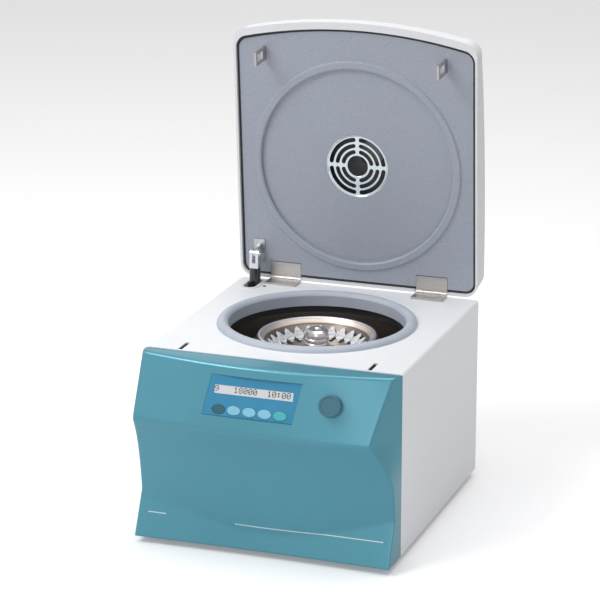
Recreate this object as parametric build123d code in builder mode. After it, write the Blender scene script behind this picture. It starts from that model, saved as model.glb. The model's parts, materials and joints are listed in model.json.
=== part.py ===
from build123d import *
from math import atan2, cos, degrees, pi, radians, sin, sqrt, tan
import os

# Bench microcentrifuge with its lid open. The origin is on the bench under the spindle,
# +X is the right-hand side seen from the front, +Y the back and +Z up. All sizes are in mm.

# Housing
width = 330.0
depth = 324.0
foot_height = 10.0
skirt_height = 8.0
top_height = 240.0
sheet = 2.0
cover_bend = 4.0
tray_floor = 2.0
tray_gap = 0.6
tray_flange = 18.0
foot_radius = 14.0
foot_inset = 34.0
side_gap = 0.3

# Rotor chamber
mouth_radius = 112.0
gasket_radius = 127.0
gasket_rise = 6.6
gasket_drop = 12.0
gasket_neck = 0.2
bowl_radius = 118.0
bowl_wall = 1.2
bowl_floor = 140.0
bowl_corner = 16.0
bead_height = 218.0
bead_width = 6.5
guard_wall = 6.0
guard_gap = 1.8
deck_height = 129.0
deck_wall = 3.0
deck_half_width = 150.0
deck_half_depth = 135.0
seal_bore = 20.0

# Rotor for twenty-four tubes at 45 degrees
tube_count = 24
tube_angle = 45.0
seat_radius = 55.5
seat_height = 207.0
rotor_top = 226.0
rotor_lip_radius = 75.2
rotor_lip_width = 4.7
rotor_radius = 96.0
rotor_bottom = 160.0
rotor_skirt = 168.0
rotor_hub_radius = 22.0
rotor_floor = 197.0
hole_radius = 5.7
tip_gap = 1.0
tube_radius = 5.4
tube_length = 37.0
tube_taper_start = 18.0
tube_tip_radius = 2.0
rim_radius = 6.3
rim_thickness = 1.6
rim_clear = 0.5
seat_sink = 0.4
cap_radius = 6.6
cap_thickness = 2.4
tab_reach = 12.0
nut_radius = 15.6
nut_flange_radius = 17.0
nut_bottom = 201.0
nut_top = 232.0
lift_travel = 90.0

# Motor
shaft_radius = 6.0
thread_radius = 5.0
thread_top = 216.0
shaft_fit = 0.05
motor_radius = 52.0
motor_wall = 3.5
motor_bottom = 40.0
motor_top = 118.0
bearing_radius = 16.0
bearing_width = 10.0
core_radius = 28.0
air_gap = 0.6
core_height = 44.0
buffer_radius = 12.0
buffer_circle = 64.0
ear_thickness = 6.0

# Lid, drawn closed in the lid plane and carried open by it
open_angle = 86.0
hinge_y = 163.0
leaf_thickness = 3.0
leaf_gap = 0.6
hinge_z = top_height + leaf_thickness + leaf_gap / 2
liner_level = 0.7
lid_half_width = 164.0
lid_corner_length = 336.0
lid_bow = 20.0
lid_wall = 3.0
lid_front_wall = 9.5
lid_rim = -2.9
lid_rear_rise = 42.0
lid_crown_rise = 50.0
lid_front_rise = 24.0
lid_draft = 4.0
lid_rear_corner = 18.0
lid_front_corner = 20.0
lid_edge_round = 9.0
liner_thickness = 2.5
liner_inset = 3.6
seal_gap = 0.4
ridge_radius = 142.0
ridge_width = 11.0
ridge_rise = 2.4
dish_depth = 3.0
grille_radius = 42.0
grille_thickness = 2.0
grille_gap = 0.3
grille_flange = 4.0

# Hinges
leaf_width = 42.0
leaf_centre = 101.0
leaf_length = 25.0
lid_leaf_length = 22.0
knuckle_radius = 2.9
knuckle_gap = 0.3
pin_radius = 1.5
pin_fit = 0.04

# Strikers and lid lock
striker_x = 122.0
striker_distance = 308.0
striker_width = 18.0
striker_length = 36.0
striker_thickness = 3.0
striker_slot_width = 5.4
striker_slot_length = 28.0
window_width = 11.0
window_start = 12.0
window_end = 32.0
lock_height = 224.0
lock_travel = 9.0
lock_pin_radius = 3.0
lock_pin_length = 12.0
lock_rest_gap = 2.5
bar_clear = 0.5
bar_thickness = 5.0
bar_height = 12.0
gear_module = 1.0
pinion_teeth = 14
gear_backlash = 0.3
pinion_x = 40.0

# Gas spring
spring_x = -137.0
spring_pin_distance = 37.0
spring_pin_drop = 17.0
spring_foot_y = 128.0
spring_foot_z = 52.0
spring_tube_radius = 7.4
spring_tube_wall = 1.2
spring_tube_start = 19.0
spring_tube_length = 115.0
spring_rod_radius = 3.0
spring_fork_width = 12.0
spring_tongue = 4.0
slot_half_width = 9.5
slot_front_y = 112.5
slot_rear_y = 153.5
bezel_rim = 3.0
bezel_rise = 1.2

# Front moulding
lip_depth = 35.0
lip_bow = 22.0
panel_top = 239.0
crease_height = 162.0
crease_depth = 63.0
crease_bow = 13.6
foot_depth = 38.0
foot_bow = 19.0
panel_wall = 3.0
scoop_angle = 24.6
scoop_low = 96.0
scoop_high = 165.0
control_slope = 20.5
control_x = -10.0
control_height = 204.0
recess_depth = 3.4
overlay_width = 116.0
overlay_length = 50.0
overlay_shear = 0.15
overlay_thickness = 0.6
overlay_gap = 0.25
bed_thickness = 3.0
display_width = 101.0
display_height = 11.0
display_x = 1.5
display_v = 7.0
key_count = 5
key_pitch = 19.7
key_v = -17.0
key_half_width = 8.6
key_half_height = 5.6
key_gap = 0.3
key_proud = 1.2
key_travel = 0.8
knob_x = 90.0
knob_height = 205.0
knob_radius = 13.6
knob_depth = 13.0
knob_clear = 1.0

# Rear
inlet_x = 118.0
inlet_z = 52.0
inlet_width = 28.0
inlet_height = 48.0
rocker_width = 13.0
rocker_height = 20.0
rocker_angle = 9.0

half_width = width / 2
front_y = -depth / 2
rear_y = depth / 2

LID = Plane(
    origin=(0, hinge_y, hinge_z),
    x_dir=(1, 0, 0),
    z_dir=(0, sin(radians(open_angle)), cos(radians(open_angle))),
)
LID_SIDE = Plane(origin=LID.origin, x_dir=LID.y_dir, z_dir=LID.x_dir)


os.makedirs("parts", exist_ok=True)


def save(piece, name):
    piece.part.label = name
    export_step(piece.part, f"parts/{name}.step")


def lid_side(x):
    # The lid's side plane at a distance to the right of its middle.
    return LID_SIDE.offset(x)


# Front moulding: side profiles at stations across the width


def bowed(depth_at_middle, bow, x):
    return front_y - depth_at_middle + bow * (x / half_width) ** 2


def front_surface(x, z):
    # Depth of the straight control face between the top lip and the crease.
    share = (panel_top - z) / (panel_top - crease_height)
    lip = bowed(lip_depth, lip_bow, x)
    crease = bowed(crease_depth, crease_bow, x)
    return lip * (1 - share) + crease * share


def side_profile(x, wall, back):
    # Closed outline in the YZ plane: top, control face, crease and the hollow lower face.
    lip = bowed(lip_depth, lip_bow, x) + wall
    crease = bowed(crease_depth, crease_bow, x) + wall * 1.3
    foot = bowed(foot_depth, foot_bow, x) + wall
    bottom = skirt_height + wall
    with BuildSketch() as profile:
        with BuildLine():
            Polyline((back, bottom), (back, panel_top - wall), (lip, panel_top - wall), (crease, crease_height))
            Spline(
                (crease, crease_height),
                (crease + 9, crease_height - 15),
                (foot - 14, crease_height - 36),
                (foot - 7.5, crease_height - 76),
                (foot - 4, crease_height - 116),
                (foot, bottom),
            )
            Line((foot, bottom), (back, bottom))
        make_face()
    return profile.sketch


def scoop_section(z, inset):
    # Plan outline of what the hollow cheek takes off the right-hand end at one height.
    share = min(max((z - scoop_low) / (scoop_high - scoop_low), 0), 1)
    angle = radians(scoop_angle) * share * share * (3 - 2 * share)
    start_x = half_width - inset
    reach = 100.0
    with BuildSketch() as section:
        with BuildLine():
            Polyline(
                (start_x, front_y + inset),
                (start_x - reach * sin(angle), front_y - reach * cos(angle)),
                (half_width + reach, front_y - reach),
                (half_width + reach, front_y + inset),
                close=True,
            )
        make_face()
    return section.sketch


def scoop(inset):
    with BuildPart() as cutter:
        for height in (0, scoop_low, 112, 128, 142, 155, scoop_high, top_height + 20):
            with BuildSketch(Plane.XY.offset(height)):
                add(scoop_section(height, inset))
        loft(ruled=True)
    return cutter.part


def moulding(wall, inset, back):
    with BuildPart() as body:
        for station in (-1, -0.67, -0.33, 0, 0.33, 0.67, 1):
            with BuildSketch(Plane.YZ.offset(station * (half_width - inset))):
                add(side_profile(station * half_width, wall, back))
        loft()
        add(scoop(inset), mode=Mode.SUBTRACT)
    return body.part


CONTROL = Plane(
    origin=(
        control_x,
        front_surface(control_x, control_height) + recess_depth / cos(radians(control_slope)),
        control_height,
    ),
    x_dir=(1, 0, 0),
    z_dir=(0, -cos(radians(control_slope)), sin(radians(control_slope))),
)


def slanted(shrink):
    # The overlay's outline: a parallelogram that leans as the cheek does.
    half = overlay_width / 2 - shrink
    rise = overlay_length / 2 - shrink
    lean = overlay_shear * rise
    with BuildSketch() as outline:
        with BuildLine():
            Polyline(
                (-half - lean, -rise), (half - lean, -rise), (half + lean, rise), (-half + lean, rise), close=True
            )
        make_face()
    return outline.sketch


key_places = [((i - (key_count - 1) / 2) * key_pitch - 1.5, key_v) for i in range(key_count)]


def knob_plane():
    step = 0.5
    slope_x = (front_surface(knob_x + step, knob_height) - front_surface(knob_x - step, knob_height)) / (2 * step)
    slope_z = (front_surface(knob_x, knob_height + step) - front_surface(knob_x, knob_height - step)) / (2 * step)
    return Plane(
        origin=(knob_x, front_surface(knob_x, knob_height), knob_height),
        x_dir=(1, slope_x, 0),
        z_dir=(slope_x, -1, slope_z),
    )


KNOB = knob_plane()
knob_shaft_radius = 3.0
knob_hole_radius = 4.6
encoder_depth = 5.0

hollow = moulding(panel_wall, panel_wall, front_y + 5)

with BuildPart() as front_panel:
    add(moulding(0, 0, front_y))
    add(hollow, mode=Mode.SUBTRACT)
    with BuildSketch(CONTROL.offset(-bed_thickness)):
        add(slanted(-2))
    extrude(amount=bed_thickness)
    with BuildSketch(CONTROL):
        add(slanted(0))
    extrude(amount=20, mode=Mode.SUBTRACT)
    with BuildSketch(CONTROL.offset(-bed_thickness)):
        with Locations((display_x, display_v)):
            Rectangle(display_width + 1, display_height + 1)
        with Locations(*key_places):
            Ellipse(key_half_width + key_gap, key_half_height + key_gap)
    extrude(amount=bed_thickness, mode=Mode.SUBTRACT)
    with BuildSketch(KNOB):
        Circle(knob_hole_radius)
    extrude(amount=panel_wall * 2, both=True, mode=Mode.SUBTRACT)

with BuildPart() as control_overlay:
    with BuildSketch(CONTROL):
        add(slanted(overlay_gap))
        with Locations((display_x, display_v)):
            Rectangle(display_width, display_height, mode=Mode.SUBTRACT)
        with Locations(*key_places):
            Ellipse(key_half_width + key_gap, key_half_height + key_gap, mode=Mode.SUBTRACT)
    extrude(amount=overlay_thickness)

board_drop = 10.0
board_thickness = 1.6
board_width = 140.0
board_x = 6.0
board_height = 44.0

with BuildPart() as display:
    with BuildSketch(CONTROL.offset(-board_drop)):
        with Locations((display_x, display_v)):
            Rectangle(display_width + 10, display_height + 14)
    extrude(amount=board_drop - bed_thickness - 0.5)
    with BuildSketch(CONTROL.offset(-bed_thickness - 0.5)):
        with Locations((display_x, display_v)):
            Rectangle(display_width - 2 * overlay_gap, display_height - 2 * overlay_gap)
    extrude(amount=bed_thickness + 0.5 + overlay_thickness / 2)

with BuildPart() as control_board:
    with BuildSketch(CONTROL.offset(-board_drop - board_thickness)):
        with Locations((board_x, 0)):
            RectangleRounded(board_width, board_height, 2)
    extrude(amount=board_thickness)
    with BuildSketch(CONTROL.offset(-board_drop)):
        with Locations(*key_places):
            Rectangle(6, 6)
    extrude(amount=2.4)

# Each key has a lip behind the bed, so it can't fall out
keys = []
for index, (key_x, key_y) in enumerate(key_places):
    with BuildPart() as key:
        with BuildSketch(CONTROL.offset(-bed_thickness - 1.5)):
            with Locations((key_x, key_y)):
                Rectangle(2 * key_half_width + 1.6, 2 * key_half_height + 1.6)
        extrude(amount=1.2)
        with BuildSketch(CONTROL.offset(-bed_thickness - 0.3)):
            with Locations((key_x, key_y)):
                Ellipse(key_half_width, key_half_height)
        extrude(amount=bed_thickness + 0.3 + overlay_thickness + key_proud - 0.6)
        with BuildSketch(CONTROL.offset(-board_drop + 2.4 + key_travel + 0.2)):
            with Locations((key_x, key_y)):
                Circle(2)
        extrude(until=Until.NEXT)
        fillet(key.faces().sort_by(lambda face: CONTROL.to_local_coords(face.center()).Z)[-1].edges(), 0.5)
    keys.append(key)

with BuildPart() as knob:
    with BuildSketch(KNOB.offset(knob_clear)):
        Circle(knob_radius)
    extrude(amount=knob_depth)
    fillet(knob.faces().sort_by(lambda face: KNOB.to_local_coords(face.center()).Z)[-1].edges(), 1.2)
    with BuildSketch(KNOB.offset(knob_clear + knob_depth)):
        Circle(knob_radius - 3.2)
    extrude(amount=-0.6, taper=20, mode=Mode.SUBTRACT)
    with BuildSketch(KNOB.offset(knob_clear)):
        Circle(knob_radius - 2)
        Circle(knob_shaft_radius + 2, mode=Mode.SUBTRACT)
    extrude(amount=knob_depth - 4, mode=Mode.SUBTRACT)
    with BuildSketch(KNOB.offset(-board_drop)):
        Circle(knob_shaft_radius)
    extrude(amount=board_drop + knob_clear + 4)

with BuildPart() as knob_encoder:
    with BuildSketch(KNOB.offset(-board_drop - 4)):
        Rectangle(13, 13)
    extrude(amount=board_drop + 4 - encoder_depth)
    with BuildSketch(KNOB.offset(-encoder_depth)):
        Circle(knob_hole_radius - 0.05)
    extrude(amount=encoder_depth + 0.4)
    with BuildSketch(KNOB.offset(-board_drop - 1)):
        Circle(knob_shaft_radius + shaft_fit)
    extrude(amount=20, mode=Mode.SUBTRACT)

# Housing cover: top and both sides from one sheet

striker_y = hinge_y - striker_distance
slot_middle_y = (slot_front_y + slot_rear_y) / 2
slot_length = slot_rear_y - slot_front_y
neck_radius = gasket_radius - 8.0

with BuildPart() as housing_cover:
    with BuildSketch(Plane.XZ.offset(-rear_y)):
        with BuildLine():
            outer = Polyline(
                (-half_width, skirt_height),
                (-half_width, top_height),
                (half_width, top_height),
                (half_width, skirt_height),
            )
            fillet(outer.vertices().group_by(Axis.Z)[-1], cover_bend)
            offset(amount=-sheet, side=Side.RIGHT)
        make_face()
    extrude(amount=depth)
    with BuildSketch(Plane.XY.offset(top_height)):
        Circle(neck_radius)
        with Locations((-striker_x, striker_y), (striker_x, striker_y)):
            Rectangle(striker_slot_width, striker_slot_length)
        with Locations((spring_x, slot_middle_y)):
            SlotOverall(slot_length, 2 * slot_half_width, rotation=90)
    extrude(amount=-2 * sheet, mode=Mode.SUBTRACT)

with BuildPart() as slot_bezel:
    with BuildSketch(Plane.XY.offset(top_height)):
        with Locations((spring_x, slot_middle_y)):
            SlotOverall(slot_length + 2 * bezel_rim, 2 * (slot_half_width + bezel_rim), rotation=90)
    extrude(amount=bezel_rise)
    fillet(slot_bezel.faces().sort_by(Axis.Z)[-1].edges(), 0.8)
    with BuildSketch(Plane.XY.offset(top_height)):
        with Locations((spring_x, slot_middle_y)):
            SlotOverall(slot_length - 0.4, 2 * slot_half_width - 0.4, rotation=90)
    extrude(amount=-5)
    with BuildSketch(Plane.XY.offset(top_height - 5)):
        with Locations((spring_x, slot_middle_y)):
            SlotOverall(slot_length - 2.4, 2 * slot_half_width - 2.4, rotation=90)
    extrude(amount=5 + bezel_rise, mode=Mode.SUBTRACT)

tray_half_width = half_width - sheet - tray_gap
tray_half_depth = depth / 2 - tray_gap
tray_top = foot_height + tray_floor

with BuildPart() as base_plate:
    with BuildSketch(Plane.XY.offset(foot_height)):
        RectangleRounded(2 * tray_half_width, 2 * tray_half_depth, 4)
    extrude(amount=tray_flange)
    with BuildSketch(Plane.XY.offset(tray_top)):
        RectangleRounded(2 * (tray_half_width - tray_floor), 2 * (tray_half_depth - tray_floor), 2)
    extrude(amount=tray_flange, mode=Mode.SUBTRACT)
    with BuildSketch(Plane.XY.offset(foot_height)):
        with GridLocations(0, 12, 1, 9):
            SlotOverall(60, 5)
    extrude(amount=tray_floor, mode=Mode.SUBTRACT)

foot_places = [(sx * (half_width - foot_inset), sy * (depth / 2 - foot_inset)) for sx in (-1, 1) for sy in (-1, 1)]

with BuildPart() as feet:
    for foot_x, foot_y in foot_places:
        with BuildSketch(Plane.XZ.offset(-foot_y)):
            with BuildLine():
                Polyline(
                    (foot_x, 3),
                    (foot_x + 5, 3),
                    (foot_x + 5, 0),
                    (foot_x + foot_radius - 2, 0),
                    (foot_x + foot_radius, 2),
                    (foot_x + foot_radius - 2, foot_height),
                    (foot_x, foot_height),
                    close=True,
                )
            make_face()
        revolve(axis=Axis((foot_x, foot_y, 0), (0, 0, 1)))

# Rear panel with its air slots, set between the cover's sides

panel_gap = 0.4
panel_low = foot_height + tray_flange + panel_gap
panel_high = top_height - sheet - panel_gap

with BuildPart() as rear_panel:
    with BuildSketch(Plane.XZ.offset(-rear_y + sheet)):
        with Locations((0, (panel_low + panel_high) / 2)):
            RectangleRounded(width - 2 * sheet - 2 * panel_gap, panel_high - panel_low, cover_bend - sheet)
    extrude(amount=-sheet)
    with BuildSketch(Plane.XZ.offset(-rear_y)):
        with Locations((-20, 150)):
            with GridLocations(0, 11, 1, 8):
                SlotOverall(150, 5)
        with Locations((-20, 62)):
            with GridLocations(0, 11, 1, 4):
                SlotOverall(150, 5)
        with Locations((inlet_x, inlet_z)):
            Rectangle(inlet_width, inlet_height)
    extrude(amount=sheet, mode=Mode.SUBTRACT)

# Chamber: gasket, cellular seal, spun bowl, guard ring and the deck that carries them

gasket_low = top_height - gasket_drop
gasket_high = top_height + gasket_rise

with BuildPart() as chamber_gasket:
    with BuildSketch(Plane.XZ):
        with BuildLine():
            Line((mouth_radius, gasket_low), (mouth_radius, gasket_high - 5))
            ThreePointArc(
                (mouth_radius, gasket_high - 5), (mouth_radius + 5.5, gasket_high), (gasket_radius, top_height)
            )
            Polyline(
                (gasket_radius, top_height),
                (neck_radius - gasket_neck, top_height),
                (neck_radius - gasket_neck, top_height - sheet),
                (neck_radius + 3, top_height - sheet),
                (neck_radius + 3, gasket_low),
                (mouth_radius, gasket_low),
            )
        make_face()
    revolve(axis=Axis.Z)

with BuildPart() as bowl_seal:
    with BuildSketch(Plane.XY.offset(bead_height)):
        Circle(bowl_radius + bowl_wall + guard_gap + guard_wall - 2)
        Circle(bowl_radius, mode=Mode.SUBTRACT)
    extrude(amount=gasket_low - bead_height)

bowl_outer = bowl_radius + bowl_wall

with BuildPart() as bowl:
    with BuildSketch(Plane.XZ):
        with BuildLine():
            middle = Polyline(
                (seal_bore + 4, bowl_floor),
                (bowl_radius + bowl_wall / 2, bowl_floor),
                (bowl_radius + bowl_wall / 2, bead_height - bowl_wall / 2),
                (bowl_radius + bead_width, bead_height - bowl_wall / 2),
            )
            fillet(middle.vertices().sort_by_distance((bowl_radius, 0, bowl_floor))[0], bowl_corner)
        trace(line_width=bowl_wall)
    revolve(axis=Axis.Z)

guard_inner = bowl_outer + guard_gap

with BuildPart() as guard_ring:
    with BuildSketch(Plane.XY.offset(deck_height)):
        Circle(guard_inner + guard_wall)
        Circle(guard_inner, mode=Mode.SUBTRACT)
    extrude(amount=bead_height - bowl_wall - deck_height)

motor_opening = motor_radius + 4

with BuildPart() as chassis:
    with BuildSketch(Plane.XZ.offset(-deck_half_depth)):
        with BuildLine():
            frame_line = Polyline(
                (-deck_half_width + deck_wall / 2, tray_top),
                (-deck_half_width + deck_wall / 2, deck_height - deck_wall / 2),
                (deck_half_width - deck_wall / 2, deck_height - deck_wall / 2),
                (deck_half_width - deck_wall / 2, tray_top),
            )
            fillet(frame_line.vertices().group_by(Axis.Z)[-1], 4)
        trace(line_width=deck_wall)
    extrude(amount=2 * deck_half_depth)
    with BuildSketch(Plane.XY.offset(deck_height)):
        Circle(motor_opening)
        with Locations((spring_x, deck_half_depth)):
            Rectangle(2 * (deck_half_width + spring_x) + 8, 2 * (deck_half_depth - slot_front_y) + 8)
    extrude(amount=-deck_height, mode=Mode.SUBTRACT)
    with BuildSketch(Plane.YZ):
        with Locations((0, (tray_top + deck_height) / 2)):
            with GridLocations(90, 1, 2, 1):
                RectangleRounded(60, 70, 8)
    extrude(amount=deck_half_width, both=True, mode=Mode.SUBTRACT)

# Motor on three rubber buffers, with the spindle in two bearings

ears = [(buffer_circle * cos(radians(a)), buffer_circle * sin(radians(a))) for a in (90, 210, 330)]
stator_outer = motor_radius - motor_wall
bearing_low = motor_bottom + 5
bearing_high = motor_top - 5 - bearing_width

with BuildPart() as motor_housing:
    with BuildSketch(Plane.XY.offset(motor_bottom)):
        Circle(motor_radius)
    extrude(amount=motor_top - motor_bottom)
    with BuildSketch(Plane.XY.offset(motor_bottom)):
        for ear_x, ear_y in ears:
            with Locations((ear_x, ear_y)):
                Circle(buffer_radius)
        with PolarLocations(buffer_circle / 2, 3, start_angle=90):
            Rectangle(buffer_circle, 2 * buffer_radius)
    extrude(amount=ear_thickness)
    with BuildSketch(Plane.XY.offset(bearing_low + bearing_width + 2)):
        Circle(stator_outer)
    extrude(amount=bearing_high - bearing_low - bearing_width - 4, mode=Mode.SUBTRACT)
    with BuildSketch(Plane.XY.offset(bearing_low)):
        Circle(bearing_radius + 0.02)
    extrude(amount=bearing_high + bearing_width - bearing_low, mode=Mode.SUBTRACT)
    with BuildSketch(Plane.XY.offset(bearing_low)):
        Circle(shaft_radius + 2)
    extrude(amount=motor_top - bearing_low, mode=Mode.SUBTRACT)

with BuildPart() as motor_buffers:
    for ear_x, ear_y in ears:
        with BuildSketch(Plane.XY.offset(tray_top)):
            with Locations((ear_x, ear_y)):
                Circle(buffer_radius)
        extrude(amount=motor_bottom - tray_top)

with BuildPart() as motor_bearings:
    for level in (bearing_low, bearing_high):
        with BuildSketch(Plane.XY.offset(level)):
            Circle(bearing_radius)
            Circle(shaft_radius + shaft_fit, mode=Mode.SUBTRACT)
        extrude(amount=bearing_width)

core_low = (motor_bottom + motor_top - core_height) / 2

with BuildPart() as motor_stator:
    with BuildSketch(Plane.XY.offset(core_low)):
        Circle(stator_outer - 0.02)
        Circle(core_radius + air_gap, mode=Mode.SUBTRACT)
        with PolarLocations((core_radius + stator_outer) / 2, 12):
            RectangleRounded(12, 4, 1.5, mode=Mode.SUBTRACT)
    extrude(amount=core_height)

with BuildPart() as motor_rotor:
    with BuildSketch(Plane.XY.offset(core_low)):
        Circle(core_radius)
        Circle(shaft_radius, mode=Mode.SUBTRACT)
    extrude(amount=core_height)

with BuildPart() as motor_shaft:
    with BuildSketch(Plane.XY.offset(bearing_low)):
        Circle(shaft_radius)
    extrude(amount=rotor_floor - bearing_low)
    with BuildSketch(Plane.XY.offset(rotor_floor)):
        Circle(thread_radius)
    extrude(amount=thread_top - rotor_floor)
    chamfer(motor_shaft.faces().sort_by(Axis.Z)[-1].edges(), 0.8)
    with BuildSketch(Plane.XY.offset(rotor_bottom - 4)):
        Circle(shaft_radius + 4)
    extrude(amount=4)

with BuildPart() as shaft_seal:
    with BuildSketch(Plane.XZ):
        with BuildLine():
            Polyline(
                (seal_bore - 9, motor_top),
                (seal_bore + 6, motor_top),
                (seal_bore + 6, motor_top + 3),
                (seal_bore - 4, motor_top + 9),
                (seal_bore + 7, bowl_floor - bowl_wall / 2 - 4),
                (seal_bore + 7, bowl_floor - bowl_wall / 2),
                (seal_bore - 4, bowl_floor - bowl_wall / 2),
                (seal_bore - 9, motor_top + 9),
                close=True,
            )
        make_face()
    revolve(axis=Axis.Z)

# Angle rotor turned from one billet, its seats cut square to the tubes

lean = radians(tube_angle)
cone_inner = seat_radius - (seat_height - rotor_floor) / tan(lean)
cone_outer = rotor_lip_radius - rotor_lip_width - 4.5
cone_top = seat_height + (cone_outer - seat_radius) * tan(lean)
web = 10.5

with BuildPart() as rotor:
    with BuildSketch(Plane.XZ):
        with BuildLine():
            Polyline(
                (shaft_radius + shaft_fit, rotor_bottom),
                (rotor_hub_radius, rotor_bottom),
                (rotor_hub_radius, rotor_floor - web),
                (seat_radius - 1, rotor_floor - web),
                (seat_radius - 1 + rotor_floor - web - rotor_skirt, rotor_skirt),
                (rotor_radius - 5, rotor_skirt),
                (rotor_radius, rotor_skirt + 7),
                (rotor_radius, rotor_skirt + 22),
                (rotor_lip_radius, rotor_top - 2),
            )
            ThreePointArc(
                (rotor_lip_radius, rotor_top - 2),
                (rotor_lip_radius - rotor_lip_width / 2, rotor_top),
                (rotor_lip_radius - rotor_lip_width, rotor_top - 2),
            )
            Polyline(
                (rotor_lip_radius - rotor_lip_width, rotor_top - 2),
                (cone_outer + 1.5, cone_top + 3),
                (cone_outer, cone_top),
                (cone_inner, rotor_floor),
                (rotor_hub_radius - 3, rotor_floor),
                (rotor_hub_radius - 5, nut_bottom - 0.4),
                (shaft_radius + shaft_fit, nut_bottom - 0.4),
                close=False,
            )
            Line((shaft_radius + shaft_fit, nut_bottom - 0.4), (shaft_radius + shaft_fit, rotor_bottom))
        make_face()
    revolve(axis=Axis.Z)
    for index in range(tube_count):
        turn = 2 * pi * index / tube_count
        seat = Plane(
            origin=(seat_radius * cos(turn), seat_radius * sin(turn), seat_height),
            z_dir=(-sin(lean) * cos(turn), -sin(lean) * sin(turn), cos(lean)),
        )
        with BuildSketch(seat.offset(-seat_sink)):
            Circle(rim_radius + rim_clear)
        extrude(amount=2 * rim_thickness, mode=Mode.SUBTRACT)
        with BuildSketch(seat.offset(-seat_sink)):
            Circle(hole_radius)
        extrude(amount=-tube_length - tip_gap, mode=Mode.SUBTRACT)

# One snap-cap tube, closed, with its front tab and hinge strap

with BuildPart() as tube:
    with BuildSketch(Plane.XZ):
        with BuildLine():
            Polyline(
                (0, rim_thickness + cap_thickness - 1.2),
                (cap_radius - 2.2, rim_thickness + cap_thickness - 1.2),
                (cap_radius - 1.6, rim_thickness + cap_thickness),
                (cap_radius, rim_thickness + cap_thickness),
                (cap_radius, rim_thickness),
                (rim_radius, rim_thickness),
                (rim_radius, 0.05),
                (tube_radius, 0.05),
                (tube_radius, -tube_taper_start),
                (tube_tip_radius + 0.6, -tube_length + 1.2),
                (tube_tip_radius - 0.6, -tube_length),
                (0, -tube_length),
                close=True,
            )
        make_face()
    revolve(axis=Axis.Z)
    with BuildSketch(Plane.XY.offset(rim_thickness + 0.6)):
        with BuildLine():
            Polyline((0, -cap_radius + 1.5), (tab_reach - 3, -3), (tab_reach, 0), (tab_reach - 3, 3), (0, cap_radius - 1.5), close=True)
        make_face()
        with Locations((-cap_radius, 0)):
            Rectangle(3.4, 4.6)
    extrude(amount=1.2)

with BuildPart() as microtubes:
    for index in range(tube_count):
        turn = 2 * pi * index / tube_count
        seat = Plane(
            origin=(seat_radius * cos(turn), seat_radius * sin(turn), seat_height),
            x_dir=(cos(lean) * cos(turn), cos(lean) * sin(turn), sin(lean)),
            z_dir=(-sin(lean) * cos(turn), -sin(lean) * sin(turn), cos(lean)),
        ).offset(-seat_sink)
        with Locations(seat.location):
            add(tube.part)

groove_pitch = 6.0
groove_depth = 1.3

with BuildPart() as rotor_nut:
    with BuildSketch(Plane.XZ):
        with BuildLine():
            Polyline(
                (0, nut_top - 2.2),
                (3, nut_top - 1.8),
                (5.5, nut_top),
                (nut_radius - 4.5, nut_top),
                (nut_radius - 1.2, nut_top - 2.4),
                (nut_radius, nut_top - 6),
                (nut_radius, nut_top - 9),
                (nut_radius - groove_depth, nut_top - 10.5),
                (nut_radius, nut_top - 12),
                (nut_radius, nut_top - 9 - groove_pitch),
                (nut_radius - groove_depth, nut_top - 10.5 - groove_pitch),
                (nut_radius, nut_top - 12 - groove_pitch),
                (nut_radius, nut_bottom + 8),
                (nut_radius - groove_depth, nut_bottom + 6.5),
                (nut_flange_radius, nut_bottom + 5),
                (nut_flange_radius, nut_bottom),
                (thread_radius + shaft_fit, nut_bottom),
                (thread_radius + shaft_fit, thread_top + 2),
                (0, thread_top + 2),
                close=True,
            )
        make_face()
    revolve(axis=Axis.Z)

# Lid: outer shell with the liner, seal strip and vent grille inside its rim


def lid_outline(inset, front_inset):
    # Straight sides and rear, bowed front.
    half = lid_half_width - inset
    corner = -lid_corner_length + front_inset
    with BuildSketch() as outline:
        with BuildLine():
            Polyline((half, corner), (half, -inset), (-half, -inset), (-half, corner))
            ThreePointArc((-half, corner), (0, corner - lid_bow), (half, corner))
        make_face()
        fillet(outline.vertices().group_by(Axis.Y)[-1], lid_rear_corner - inset)
        fillet(outline.vertices().group_by(Axis.Y)[0], lid_front_corner - inset)
    return outline.sketch


def lid_solid(inset, front_inset):
    # Drafted sides under one shallow arc from the rear edge to the front.
    with BuildPart() as body:
        with BuildSketch(LID.offset(lid_rim)):
            add(lid_outline(inset, front_inset))
        extrude(amount=lid_crown_rise + lid_edge_round, taper=lid_draft)
        with BuildSketch(lid_side(-lid_half_width)):
            with BuildLine():
                ThreePointArc(
                    (0, lid_rear_rise - inset),
                    (-0.42 * lid_reach, lid_crown_rise - inset),
                    (-lid_reach, lid_front_rise - inset),
                )
                Polyline((-lid_reach, lid_front_rise - inset), (-lid_reach, lid_rim), (0, lid_rim))
                Line((0, lid_rim), (0, lid_rear_rise - inset))
            make_face()
        extrude(amount=2 * lid_half_width, mode=Mode.INTERSECT)
        fillet(body.faces().sort_by(Axis(LID.origin, LID.z_dir))[-1].edges(), lid_edge_round - inset)
    return body.part


lid_reach = lid_corner_length + lid_bow
lid_cavity = lid_solid(lid_wall, lid_front_wall)
LID_REAR = Plane(origin=LID.origin, x_dir=LID.x_dir, z_dir=LID.y_dir)
intake_height = 24.0
intake_pitch = 7.0
leaf_notch = leaf_width + 2.0

with BuildPart() as lid_shell:
    add(lid_solid(0, 0))
    add(lid_cavity, mode=Mode.SUBTRACT)
    with BuildSketch(LID_REAR):
        with Locations((-leaf_centre, 0), (leaf_centre, 0)):
            Rectangle(leaf_notch, 2 * (leaf_thickness + 1.2))
        with Locations((0, -intake_height)):
            with GridLocations(intake_pitch, 0, 19, 1):
                SlotOverall(18, 3, rotation=90)
    extrude(amount=-lid_wall - 1, mode=Mode.SUBTRACT)

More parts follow.
